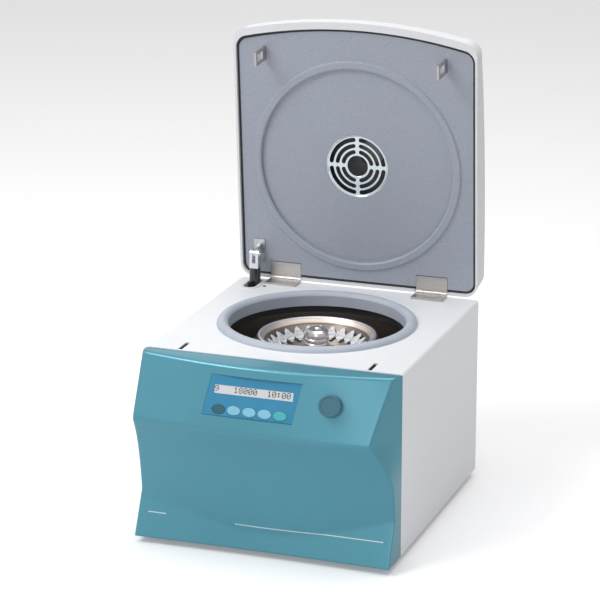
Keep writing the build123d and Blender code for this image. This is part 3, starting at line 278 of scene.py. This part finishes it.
finishes = {
    "white_paint": finish(
        "whitePaint", (0.80, 0.815, 0.835), 0.36, grain=(1400.0, 9.0), bump=0.012, tone=0.012,
        dust=0.10,
    ),
    "teal_moulding": finish(
        "tealMoulding", (0.075, 0.275, 0.355), 0.30, metallic=0.4, coat=0.2, grain=(700.0, 6.0),
        bump=0.001, tone=0.03,
    ),
    "overlay_blue": finish(
        "overlayFoil", (0.025, 0.22, 0.38), 0.34, grain=(2600.0, 30.0), bump=0.006, tone=0.06,
    ),
    "display_face": finish("displayFace", (0.62, 0.64, 0.66), 0.18, coat=0.4, bump=0.0, tone=0.02),
    "circuit_board": finish(
        "circuitBoard", (0.02, 0.16, 0.07), 0.4, grain=(500.0, 60.0), bump=0.05, tone=0.2,
    ),
    "key_dark": finish("keyDark", (0.01, 0.10, 0.14), 0.3, coat=0.3, bump=0.006, tone=0.05),
    "key_light": finish("keyLight", (0.22, 0.52, 0.68), 0.3, coat=0.3, bump=0.006, tone=0.05),
    "key_green": finish("keyTurquoise", (0.05, 0.42, 0.45), 0.3, coat=0.3, bump=0.006, tone=0.05),
    "knob_teal": finish("knobTeal", (0.03, 0.13, 0.18), 0.36, coat=0.2, bump=0.01, tone=0.05),
    "sheet_steel": finish(
        "platedSheet", (0.55, 0.55, 0.56), 0.35, metallic=1.0, grain=(250.0, 60.0), bump=0.01,
        tone=0.12,
    ),
    # the brownish dark grey is a painted reflection of the dark things the polished bowl faces, not the
    # steel's own colour
    "stainless": finish(
        "spunStainlessPaintedReflection", (0.36, 0.33, 0.31), 0.30, metallic=1.0, rings=1400.0, bump=0.012, tone=0.10,
    ),
    "gasket_grey": finish(
        "gasketRubber", (0.42, 0.46, 0.53), 0.5, grain=(1500.0, 25.0), bump=0.03, tone=0.06, dust=0.15,
    ),
    "seal_black": finish("sealRubber", (0.02, 0.02, 0.024), 0.6, grain=(1200.0, 40.0), bump=0.05, tone=0.2),
    "foot_rubber": finish(
        "footRubber", (0.018, 0.018, 0.018), 0.75, grain=(900.0, 60.0), bump=0.08, tone=0.25,
    ),
    "rotor_aluminium": finish(
        "rotorAnodised", (0.20, 0.17, 0.15), 0.34, metallic=0.9, rings=1800.0, bump=0.012, tone=0.10,
        # the pale grey band on the rounded lip is a painted highlight; the band inside it is polished, and
        # its bright beige is a painted reflection
        highlightBands=((0.0668, 0.0705, (0.72, 0.62, 0.54)), (0.0705, 0.0755, (0.62, 0.63, 0.66))),
    ),
    "tube_plastic": finish(
        "tubePlastic", (0.78, 0.80, 0.83), 0.28, bump=0.006, tone=0.03, transmission=0.12,
    ),
    "nut_aluminium": finish(
        "turnedNut", (0.52, 0.50, 0.50), 0.24, metallic=1.0, rings=2200.0, bump=0.01, tone=0.08,
    ),
    "liner_grey": finish(
        "linerPaint", (0.37, 0.40, 0.47), 0.42, grain=(1500.0, 7.0), bump=0.03, tone=0.04, speckle=0.22,
    ),
    "lid_white": finish(
        "lidMoulding", (0.72, 0.735, 0.755), 0.40, grain=(1300.0, 10.0), bump=0.02, tone=0.015,
        dust=0.06,
    ),
    "grille_chrome": finish(
        "grilleChrome", (0.66, 0.72, 0.76), 0.16, metallic=1.0, grain=(700.0, 40.0), bump=0.004,
        tone=0.05,
    ),
    "black_plastic": finish(
        "blackPlastic", (0.035, 0.037, 0.042), 0.5, grain=(1100.0, 30.0), bump=0.03, tone=0.15,
    ),
    "spring_black": finish(
        "springTube", (0.006, 0.006, 0.008), 0.16, coat=0.6, grain=(900.0, 30.0), bump=0.004, tone=0.2,
    ),
    "zinc": finish(
        "brightZinc", (0.70, 0.74, 0.78), 0.17, metallic=1.0, grain=(500.0, 60.0), bump=0.01, tone=0.08,
    ),
    "hinge_steel": finish(
        "brushedHinge", (0.52, 0.50, 0.49), 0.32, metallic=1.0, streak=(30.0, 1500.0, 1500.0),
        bump=0.012, tone=0.14,
    ),
    "core_steel": finish(
        "coreSteel", (0.14, 0.13, 0.13), 0.5, metallic=0.8, streak=(20.0, 20.0, 2500.0), bump=0.04,
        tone=0.2,
    ),
}
stripePale = finish("stripePale", (0.55, 0.68, 0.72), 0.35, bump=0.004, tone=0.03)
dotBlack = finish("dotBlack", (0.02, 0.025, 0.03), 0.4, bump=0.004, tone=0.1)
screwDark = finish("screwDark", (0.03, 0.03, 0.032), 0.35, metallic=0.6, bump=0.01, tone=0.2)
slotOf = {part["node"]: part["material_slot"] for part in frame["record"]["subparts"]}
for label, node in nodes.items():
    node.data.materials.clear()
    node.data.materials.append(finishes[slotOf[label]])
print("finishes:", len(finishes))

# helpers for the pieces that are worked out here, in millimetres until they become a mesh
lid = {"lean": math.radians(86.0), "hingeLine": (163.0, 243.3)}


def gridFaces(rows, columns, closed=False):
    # quads between neighbouring rows and columns of a grid, the last column joined to the first if closed
    across = columns if closed else columns - 1
    row, column = np.meshgrid(np.arange(rows - 1), np.arange(across), indexing="ij")
    after = (column + 1) % columns
    start, beyond = row * columns, (row + 1) * columns
    corners = [start + column, start + after, beyond + after, beyond + column]
    return np.stack(corners, axis=-1).reshape(-1, 4)


def lidPlace(points):
    # lid plane to the open lid: turned about the hinge line by the angle it stands at
    x, y, z = points[..., 0], points[..., 1], points[..., 2]
    lean, (hingeDepth, hingeHeight) = lid["lean"], lid["hingeLine"]
    depth = hingeDepth + y * math.cos(lean) + z * math.sin(lean)
    height = hingeHeight - y * math.sin(lean) + z * math.cos(lean)
    return np.stack([x, depth, height], axis=-1)


def makeMesh(name, points, faces, smooth=True):
    mesh = bpy.data.meshes.new(name)
    metres = np.asarray(points).reshape(-1, 3) / 1000
    mesh.from_pydata(metres.tolist(), [], [list(map(int, face)) for face in faces])
    work = bmesh.new()
    work.from_mesh(mesh)
    bmesh.ops.remove_doubles(work, verts=work.verts, dist=meshing["merge"])
    bmesh.ops.recalc_face_normals(work, faces=work.faces)
    work.to_mesh(mesh)
    work.free()
    if smooth:
        mesh.shade_smooth()
        mesh.set_sharp_from_angle(angle=math.radians(meshing["sharpAngle"]))
    return mesh


def addPiece(name, mesh, body, slot, material=None):
    piece = bpy.data.objects.new(name, mesh)
    bpy.context.scene.collection.objects.link(piece)
    mesh.materials.clear()
    mesh.materials.append(material or finishes[slot])
    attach(piece, body)
    return piece


def prism(outline, toFrame, low, high):
    # a flat outline carried straight from one height to another; toFrame takes (x, y, height)
    count = len(outline)
    rings = [np.column_stack([outline, np.full(count, height)]) for height in (low, high)]
    points = toFrame(np.concatenate(rings))
    faces = [list(face) for face in gridFaces(2, count, closed=True)]
    return points, faces + [list(range(count))[::-1], list(range(count, 2 * count))]


def joined(parts):
    points, faces, start = [], [], 0
    for some, sides in parts:
        points.append(some)
        faces += [[index + start for index in side] for side in sides]
        start += len(some)
    return np.concatenate(points), faces


def carve(mesh, cutters):
    # takes the cutter meshes out of the first, one after the other, then clears edges too short to see
    scene = bpy.context.scene
    target = bpy.data.objects.new("carved", mesh)
    scene.collection.objects.link(target)
    for cutter in cutters:
        tool = bpy.data.objects.new("cutter", cutter)
        scene.collection.objects.link(tool)
        cut = target.modifiers.new("cut", "BOOLEAN")
        cut.operation = "DIFFERENCE"
        cut.solver = "EXACT"
        cut.object = tool
        result = bpy.data.meshes.new_from_object(
            target.evaluated_get(bpy.context.evaluated_depsgraph_get()),
        )
        target.modifiers.remove(cut)
        target.data = result
        bpy.data.objects.remove(tool)
    bpy.data.objects.remove(target)
    work = bmesh.new()
    work.from_mesh(result)
    bmesh.ops.dissolve_degenerate(work, dist=meshing["slimEdge"], edges=work.edges)
    work.to_mesh(result)
    work.free()
    result.shade_smooth()
    result.set_sharp_from_angle(angle=math.radians(meshing["sharpAngle"]))
    return result


def circle(radius, count, centre=(0.0, 0.0)):
    angle = np.linspace(0, 2 * np.pi, count, endpoint=False)
    return np.column_stack([centre[0] + radius * np.cos(angle), centre[1] + radius * np.sin(angle)])


# the front moulding, all in millimetres
front = {
    "halfWidth": 165.0, "back": -162.0, "low": 8.0, "crease": 162.0, "top": 239.0,
    # depth at the middle, and how much less it is at the ends
    "lip": (35.0, 22.0), "ridge": (63.0, 13.6), "foot": (38.0, 19.0),
    "creaseBlend": 0.55, "lipRound": 3.0, "cornerRound": 3.5, "cheekRound": 2.2,
    "cheekAngle": 24.6, "cheekLow": 96.0, "cheekHigh": 165.0,
    "wall": 6.6, "sideWall": 3.0, "insetLift": 0.45,
    # the hollow below the crease: a share that dies away, a straight share and a small sag
    "hollow": {"share": 0.8, "rate": 3.9, "straight": 0.2, "sag": 0.016},
    # rows by height: both rounded ends, then from, to and how many
    "endRows": (4.0, 7, 8), "lowerRows": (6.0, 148.0, 44), "creaseRows": (150.0, 176.0, 27),
    "upperRows": (180.0, 233.0, 14), "columns": (16, 40, 20), "cheekSteps": 25,
}
control = {
    "x": -10.0, "height": 204.0, "slope": 20.5, "recess": 3.4,
    "halfWidth": 58.0, "halfLength": 25.0, "shear": 0.15, "draft": 0.15,
    "display": (1.5, 7.0, 51.0, 6.0),  # middle across and up, half length, half height
    "keys": (5, 19.7, -1.5, -17.0, 8.9, 5.9),  # how many, pitch, shift, height, half length, half height
    "knob": (90.0, 205.0, 4.6),  # across, height, radius of its hole
    "floorSkin": 0.06, "cut": (-12.0, 2.0), "knobCut": (-14.0, 3.0),
}


def plainDepth(x, z):
    # straight from lip to crease, below it a hollow that dies away as it nears the foot; the two run
    # into each other by the smooth minimum -log(exp(-ka) + exp(-kb)) / k
    share = (front["top"] - z) / (front["top"] - front["crease"])
    fall = (front["crease"] - z) / (front["crease"] - front["low"])
    bow = (x / front["halfWidth"]) ** 2
    (lip, lipBow), (ridge, ridgeBow), (foot, footBow) = front["lip"], front["ridge"], front["foot"]
    upper = (lip - lipBow * bow) * (1 - share) + (ridge - ridgeBow * bow) * share
    part = front["hollow"]
    hollow = part["share"] * np.exp(-part["rate"] * fall)
    hollow += part["straight"] * (1 - fall) - part["sag"] * fall
    middle = foot + (ridge - foot) * hollow
    lower = middle - (ridgeBow + (footBow - ridgeBow) * fall) * bow
    blend = front["creaseBlend"]
    return upper - np.log1p(np.exp(np.clip(blend * (upper - lower), -40, 40))) / blend


def outerDepth(x, z, inset):
    # the same with its top and bottom edges rounded, and drawn in by an inset
    middle, half = (front["top"] + front["low"]) / 2, (front["top"] - front["low"]) / 2
    over = np.clip(np.abs(z - middle) - half + front["lipRound"], 0, None)
    rounded = front["lipRound"] - np.sqrt(np.clip(front["lipRound"] ** 2 - over ** 2, 0, None))
    return plainDepth(x, z) - inset - (rounded if inset == 0 else 0)


faceDepth = float(plainDepth(np.array(control["x"]), np.array(control["height"])))
controlFace = front["back"] - faceDepth + control["recess"] / math.cos(math.radians(control["slope"]))


def controlPlace(points):
    # control plane (right, up the slope, out of the face) to the frame
    slope = math.radians(control["slope"])
    across, up, out = points[..., 0], points[..., 1], points[..., 2]
    y = controlFace - out * math.cos(slope) + up * math.sin(slope)
    z = control["height"] + out * math.sin(slope) + up * math.cos(slope)
    return np.stack([control["x"] + across, y, z], axis=-1)


def moulding(inset, side, recessed, reach):
    # rows by height, closest at the crease, each a bowed line from the left flank to the right one; the
    # right flank leans in by the cheek's angle, which grows smoothly with height as 3s^2 - 2s^3, and both
    # corners are quadratic curves
    low, high = front["low"] + inset * front["insetLift"], front["top"] - inset * front["insetLift"]
    slope = math.radians(control["slope"])
    step = control["draft"]
    foilEdges = [control["height"] + sign * control["halfLength"] * math.cos(slope) for sign in (-1, 1)]
    edges = [edge + way * step for edge in foilEdges for way in (-1, 1)]
    end, lowCount, highCount = front["endRows"]
    first, last, count = front["lowerRows"]
    levels = np.concatenate([
        np.linspace(low, low + end, lowCount),
        np.linspace(low + first, last, count),
        np.linspace(*front["creaseRows"]),
        np.linspace(*front["upperRows"]),
        np.linspace(high - end, high, highCount),
        edges,
    ])
    z = np.unique(np.round(np.sort(levels[(levels >= low) & (levels <= high)]), 4))[:, None]
    share = (z - front["cheekLow"]) / (front["cheekHigh"] - front["cheekLow"])
    share = np.clip(share, 0, 1)
    lean = np.tan(math.radians(front["cheekAngle"]) * share * share * (3 - 2 * share))
    half = front["halfWidth"] - side
    corner = np.full_like(z, half)
    for _ in range(front["cheekSteps"]):
        corner = half - np.maximum(outerDepth(corner, z, inset), 1) * lean
    rise = (z - control["height"]) / math.cos(slope)
    sheared = control["x"] + control["shear"] * np.clip(rise, -control["halfLength"], control["halfLength"])
    left, right = sheared - control["halfWidth"], sheared + control["halfWidth"]
    start, end = -half + front["cornerRound"], corner - front["cheekRound"]
    spans = [(start, left - step), (left + step, right - step), (right + step, end)]
    parts = []
    for (first, last), count in zip(spans, front["columns"]):
        parts.append(first + (last - first) * np.linspace(0, 1, count)[None, :])
    x = np.concatenate(parts, axis=1)
    depth = outerDepth(x, z, inset)
    if recessed:
        floorDepth = front["back"] - controlFace - control["floorSkin"]
        floorDepth = floorDepth - (z - control["height"]) * math.tan(slope)
        inside = (x > left) & (x < right) & (np.abs(rise) < control["halfLength"])
        depth = np.where(inside, np.minimum(depth, floorDepth), depth)
    t = np.linspace(0, 1, 6)[None, 1:-1]

    def curve(first, middle, last):
        return (1 - t) ** 2 * first + 2 * t * (1 - t) * middle + t ** 2 * (last + 0 * z)

    leftDepth = outerDepth(np.full_like(z, -half), z, inset)
    cheekDepth = outerDepth(corner, z, inset)
    shift = front["cheekRound"] / np.sqrt(1 + lean ** 2)
    leftX = np.concatenate(
        [np.full_like(z, -half), np.full_like(z, -half), curve(-half, -half, start)], axis=1,
    )
    leftFar = leftDepth - front["cornerRound"]
    leftY = np.concatenate(
        [np.full_like(z, -reach), leftFar, curve(leftFar, leftDepth, depth[:, :1])], axis=1,
    )
    nearX, nearY = corner + shift * lean, cheekDepth - shift
    strip = np.linspace(0, 1, 8)[None, :]
    rightX = np.concatenate([curve(end, corner, nearX), nearX + (half - nearX) * strip], axis=1)
    rightY = np.concatenate([curve(depth[:, -1:], cheekDepth, nearY), nearY * (1 - strip)], axis=1)
    x = np.concatenate([leftX, x, rightX, np.full_like(z, half)], axis=1)
    depth = np.concatenate([leftY, depth, rightY, np.full_like(z, -reach)], axis=1)
    points = np.stack([x, front["back"] - depth, np.broadcast_to(z, x.shape)], axis=-1)
    rows, columns = x.shape
    faces = [list(face) for face in gridFaces(rows, columns, closed=True)]
    return points.reshape(-1, 3), faces + [
        list(range(columns))[::-1], list(range((rows - 1) * columns, rows * columns)),
    ]


def knobPlace(points):
    # square to the face at the knob: across, up and out along the face's own slopes
    x, z = control["knob"][:2]
    near = plainDepth(np.array([x + 1, x - 1, x, x, x]), np.array([z, z, z + 1, z - 1, z]))
    alongX, alongZ = (near[0] - near[1]) / 2, (near[2] - near[3]) / 2
    out = np.array([-alongX, -1.0, -alongZ])
    out /= np.linalg.norm(out)
    right = np.cross(out, [0, 0, 1.0])
    right /= np.linalg.norm(right)
    up = np.cross(right, out)
    centre = np.array([x, front["back"] - near[4], z])
    return centre + points[..., :1] * right + points[..., 1:2] * up + points[..., 2:3] * out


def mouldingHoles():
    count, pitch, shift, level, halfAcross, halfUp = control["keys"]
    centre, up, halfLong, halfHigh = control["display"]
    window = np.array([[-1, -1], [1, -1], [1, 1], [-1, 1]]) * [halfLong, halfHigh] + [centre, up]
    holes = [prism(window, controlPlace, *control["cut"])]
    for index in range(count):
        oval = circle(1.0, 40) * [halfAcross, halfUp] + [(index - (count - 1) / 2) * pitch + shift, level]
        holes.append(prism(oval, controlPlace, *control["cut"]))
    holes.append(prism(circle(control["knob"][2], 36), knobPlace, *control["knobCut"]))
    return joined(holes)


shell = makeMesh("frontShell", *moulding(0.0, 0.0, True, 0.0))
hollow = makeMesh("frontHollow", *moulding(front["wall"], front["sideWall"], False, 6.0), smooth=False)
holes = makeMesh("frontHoles", *mouldingHoles(), smooth=False)
frontPiece = addPiece("frontMoulding", carve(shell, [hollow, holes]), "body", "teal_moulding")
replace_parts(frontPiece, "front_panel")
print("front moulding:", len(frontPiece.data.polygons), "faces")

# two thin lines printed low on the moulding
stripes = {
    "height": 38.0, "thick": 1.1, "proud": 0.3, "sunk": -0.2, "count": 60,
    "spans": [(-150.8, -127.5), (-35.0, 154.0)],
}


def stripe(low, high):
    # a narrow band that follows the moulding, a little proud of it
    count, proud, sunk = stripes["count"], stripes["proud"], stripes["sunk"]
    x = np.linspace(low, high, count)
    top, bottom = stripes["height"] + stripes["thick"] / 2, stripes["height"] - stripes["thick"] / 2
    lines = []
    for level, out in ((bottom, sunk), (bottom, proud), (top, proud), (top, sunk)):
        height = np.full_like(x, level)
        lines.append(np.column_stack([x, front["back"] - outerDepth(x, height, 0.0) - out, height]))
    section = np.stack(lines, axis=1)
    faces = [list(face) for face in gridFaces(count, 4, closed=True)]
    return section.reshape(-1, 3), faces + [[0, 1, 2, 3], [4 * count - corner for corner in (1, 2, 3, 4)]]


stripeMesh = makeMesh("frontStripes", *joined([stripe(*span) for span in stripes["spans"]]))
addPiece("frontStripes", stripeMesh, "body", "lid_white", stripePale)

# characters on the display, as small raised dots five across and seven high
readout = {
    "text": "9   18000  10:00", "pitch": 1.02, "dot": 0.98, "left": -48.4, "top": 10.4,
    "low": 0.2, "high": 0.36, "letterWidth": 6,
}
dotRows = {
    "0": "01110 10001 10011 10101 11001 10001 01110",
    "1": "00100 01100 00100 00100 00100 00100 01110",
    "8": "01110 10001 10001 01110 10001 10001 01110",
    "9": "01110 10001 10001 01111 00001 00010 01100",
    ":": "00000 01100 01100 00000 01100 01100 00000",
    " ": "00000 00000 00000 00000 00000 00000 00000",
}


def readoutDots():
    parts = []
    corner = np.array([[0, 0], [1, 0], [1, 1], [0, 1]]) * readout["dot"]
    for turn, letter in enumerate(readout["text"]):
        lit = np.array([[int(dot) for dot in row] for row in dotRows[letter].split()])
        for row, column in np.argwhere(lit):
            across = (turn * readout["letterWidth"] + column) * readout["pitch"]
            spot = np.array([readout["left"] + across, readout["top"] - row * readout["pitch"]])
            parts.append(prism(corner + spot, controlPlace, readout["low"], readout["high"]))
    return joined(parts)


addPiece(
    "displayDots", makeMesh("displayDots", *readoutDots(), smooth=False), "body", "black_plastic",
    dotBlack,
)
print("control face done")

# the round grille, pressed from sheet: three rows of arc slots in four quarters round an open middle
grille = {
    "radius": 41.9, "middle": 13.8, "level": 5.4, "thickness": 1.4, "flange": 46.0, "flangeThickness": 1.2,
    "rim": (3.95, 7.4, 40.9),  # lowest, highest, inner radius
    "edge": 0.4, "bend": 0.8, "bendBelow": 0.3, "shoulder": 0.5, "cutBelow": 3.0, "cutAbove": 5.0,
    "rows": [(16.8, 22.2), (24.8, 30.2), (32.8, 38.6)], "spoke": 2.1, "distance": -163.0,
}


def lidDisc(points):
    return lidPlace(points + [0, grille["distance"], 0])


def ringTurned(profile, toFrame, count=120):
    # a closed profile of (radius, height) carried round the grille's middle
    angle = np.linspace(0, 2 * np.pi, count, endpoint=False)[:, None]
    radius, height = np.array(profile).T[:, None, :]
    height = np.broadcast_to(height, (count, len(profile)))
    points = np.stack([radius * np.cos(angle), radius * np.sin(angle), height], axis=-1)
    rows = np.concatenate([points, points[:1]])
    faces = [list(face) for face in gridFaces(count + 1, len(profile), closed=True)]
    return toFrame(rows.reshape(-1, 3)), faces


def arcSlot(inner, outer, quarter):
    # a bent slot: two arcs about the middle joined by half circles
    middle, half = (inner + outer) / 2, (outer - inner) / 2
    edge = math.asin((grille["spoke"] + half) / middle)
    sweep = np.linspace(edge, math.pi / 2 - edge, 22) + quarter * math.pi / 2
    turn = np.linspace(0, math.pi, 10)[1:-1]
    outside = np.column_stack([outer * np.cos(sweep), outer * np.sin(sweep)])
    inside = np.column_stack([inner * np.cos(sweep), inner * np.sin(sweep)])[::-1]

    def cap(angle, way):
        centre = middle * np.array([math.cos(angle), math.sin(angle)])
        outward = np.array([math.cos(angle), math.sin(angle)])
        along = np.array([-math.sin(angle), math.cos(angle)]) * way
        return centre + half * (np.cos(turn)[:, None] * outward + np.sin(turn)[:, None] * along)

    return np.concatenate([outside, cap(sweep[-1], 1), inside, cap(sweep[0], -1)[::-1]])


low, high, inner = grille["rim"]
level, upper = grille["level"], grille["level"] + grille["thickness"]
edge, bend, below = grille["edge"], grille["bend"], grille["bendBelow"]
underFlange = high - grille["flangeThickness"]
profile = [
    (grille["middle"], level + edge), (grille["middle"] + edge, level),
    (inner - bend, level), (inner, level - bend), (inner, low + below), (inner + below, low),
    (grille["radius"], low), (grille["radius"], underFlange),
    (grille["flange"], underFlange), (grille["flange"], high), (inner, high),
    (inner - grille["shoulder"], upper), (grille["middle"] + edge, upper), (grille["middle"], upper - edge),
]
cut = (level - grille["cutBelow"], level + grille["cutAbove"])
slots = []
for inside, outside in grille["rows"]:
    for quarter in range(4):
        slots.append(prism(arcSlot(inside, outside, quarter), lidDisc, *cut))
slotMesh = makeMesh("grilleSlots", *joined(slots), smooth=False)
grilleMesh = carve(makeMesh("grillePlate", *ringTurned(profile, lidDisc)), [slotMesh])
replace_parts(addPiece("ventGrille", grilleMesh, "lid", "grille_chrome"), "vent_grille")
print("grille done")

# one dark screw head in the top, beside the gas spring
trim = {"screw": (-119.0, 129.0), "radius": 2.6, "rise": 1.0, "deck": 240.0}


def domeTurned(radius, rise, base, centre, count=28, rings=7):
    # a low dome: the height falls off as the square of the distance from its middle
    share = np.linspace(1, 0, rings)[:, None]
    angle = np.linspace(0, 2 * np.pi, count, endpoint=False)[None, :]
    x = centre[0] + radius * share * np.cos(angle)
    y = centre[1] + radius * share * np.sin(angle)
    z = np.broadcast_to(base + rise * (1 - share ** 2), x.shape)
    points = np.stack([x, y, z], axis=-1).reshape(-1, 3)
    faces = [list(face) for face in gridFaces(rings, count, closed=True)]
    return points, faces + [list(range(count))[::-1]]


head = domeTurned(trim["radius"], trim["rise"], trim["deck"], trim["screw"])
addPiece("topScrews", makeMesh("topScrews", *head), "body", "black_plastic", screwDark)
print("small trim done")


# the camera, at the photograph's angle and distance
view = {"azimuth": 19.756, "elevation": 16.84, "place": (1.0698, -3.0423, 1.2459), "lens": 160.61}
cameraData = bpy.data.cameras.new("benchCamera")
cameraData.sensor_width = 36.0
cameraData.lens = view["lens"]
cameraData.clip_end = 50.0
camera = bpy.data.objects.new("benchCamera", cameraData)
camera.location = view["place"]
camera.rotation_euler = (math.radians(90 - view["elevation"]), 0.0, math.radians(view["azimuth"]))
bpy.context.scene.collection.objects.link(camera)
bpy.context.scene.camera = camera

# the studio: a pale floor, a big soft lamp high on the left, one above and a weak one in front
studio = {
    "floorColour": (0.86, 0.86, 0.87),
    "floorGlow": 0.22,
    "floorRoughness": 0.7,
    "floorReach": 14.0,
    "glossShare": 0.9,
    "worldLight": 0.44,
    "lamps": [
        # name, place, aims at, size, watts
        ("keyLamp", (-1.6, -1.5, 2.6), (0.0, 0.0, 0.2), 1.6, 52.0),
        ("topLamp", (0.2, 0.4, 2.8), (0.0, 0.0, 0.2), 1.8, 30.0),
        ("frontLamp", (0.5, -3.0, 1.1), (0.0, 0.0, 0.15), 1.2, 8.0),
    ],
}


def addLamp(name, spot, aim, size, watts):
    data = bpy.data.lights.new(name, "AREA")
    data.shape = "SQUARE"
    data.size = size
    data.energy = watts
    lamp = bpy.data.objects.new(name, data)
    lamp.location = spot
    ray = np.array(aim) - np.array(spot)
    flat = math.hypot(ray[0], ray[1])
    lamp.rotation_euler = (math.pi / 2 + math.atan2(ray[2], flat), 0.0, math.atan2(-ray[0], ray[1]))
    bpy.context.scene.collection.objects.link(lamp)


for lamp in studio["lamps"]:
    addLamp(*lamp)

world = bpy.data.worlds.new("studioWorld")
bpy.context.scene.world = world
world.use_nodes = True
tree = world.node_tree
background = tree.nodes["Background"]
path = tree.nodes.new("ShaderNodeLightPath")
seen = maths(
    tree, "MAXIMUM", path.outputs["Is Camera Ray"],
    maths(tree, "MULTIPLY", path.outputs["Is Glossy Ray"], studio["glossShare"]),
)
background.inputs["Color"].default_value = (1.0, 1.0, 1.0, 1.0)
tree.links.new(maths(tree, "MAXIMUM", seen, studio["worldLight"]), background.inputs["Strength"])

floorMesh = bpy.data.meshes.new("studioFloor")
reach = studio["floorReach"]
corners = [(-reach, -reach, 0), (reach, -reach, 0), (reach, reach, 0), (-reach, reach, 0)]
floorMesh.from_pydata(corners, [], [(0, 1, 2, 3)])
floor = bpy.data.objects.new("studioFloor", floorMesh)
bpy.context.scene.collection.objects.link(floor)
floorMaterial = bpy.data.materials.new("paleFloor")
floorMaterial.use_nodes = True
tree = floorMaterial.node_tree
shader = tree.nodes["Principled BSDF"]
shader.inputs["Base Color"].default_value = (*studio["floorColour"], 1.0)
shader.inputs["Roughness"].default_value = studio["floorRoughness"]
shader.inputs["Emission Color"].default_value = (1.0, 1.0, 1.0, 1.0)
path = tree.nodes.new("ShaderNodeLightPath")
glow = maths(tree, "MULTIPLY", path.outputs["Is Camera Ray"], studio["floorGlow"])
tree.links.new(glow, shader.inputs["Emission Strength"])
floorMesh.materials.append(floorMaterial)

bpy.context.scene.view_settings.view_transform = "Standard"
print("studio ready")
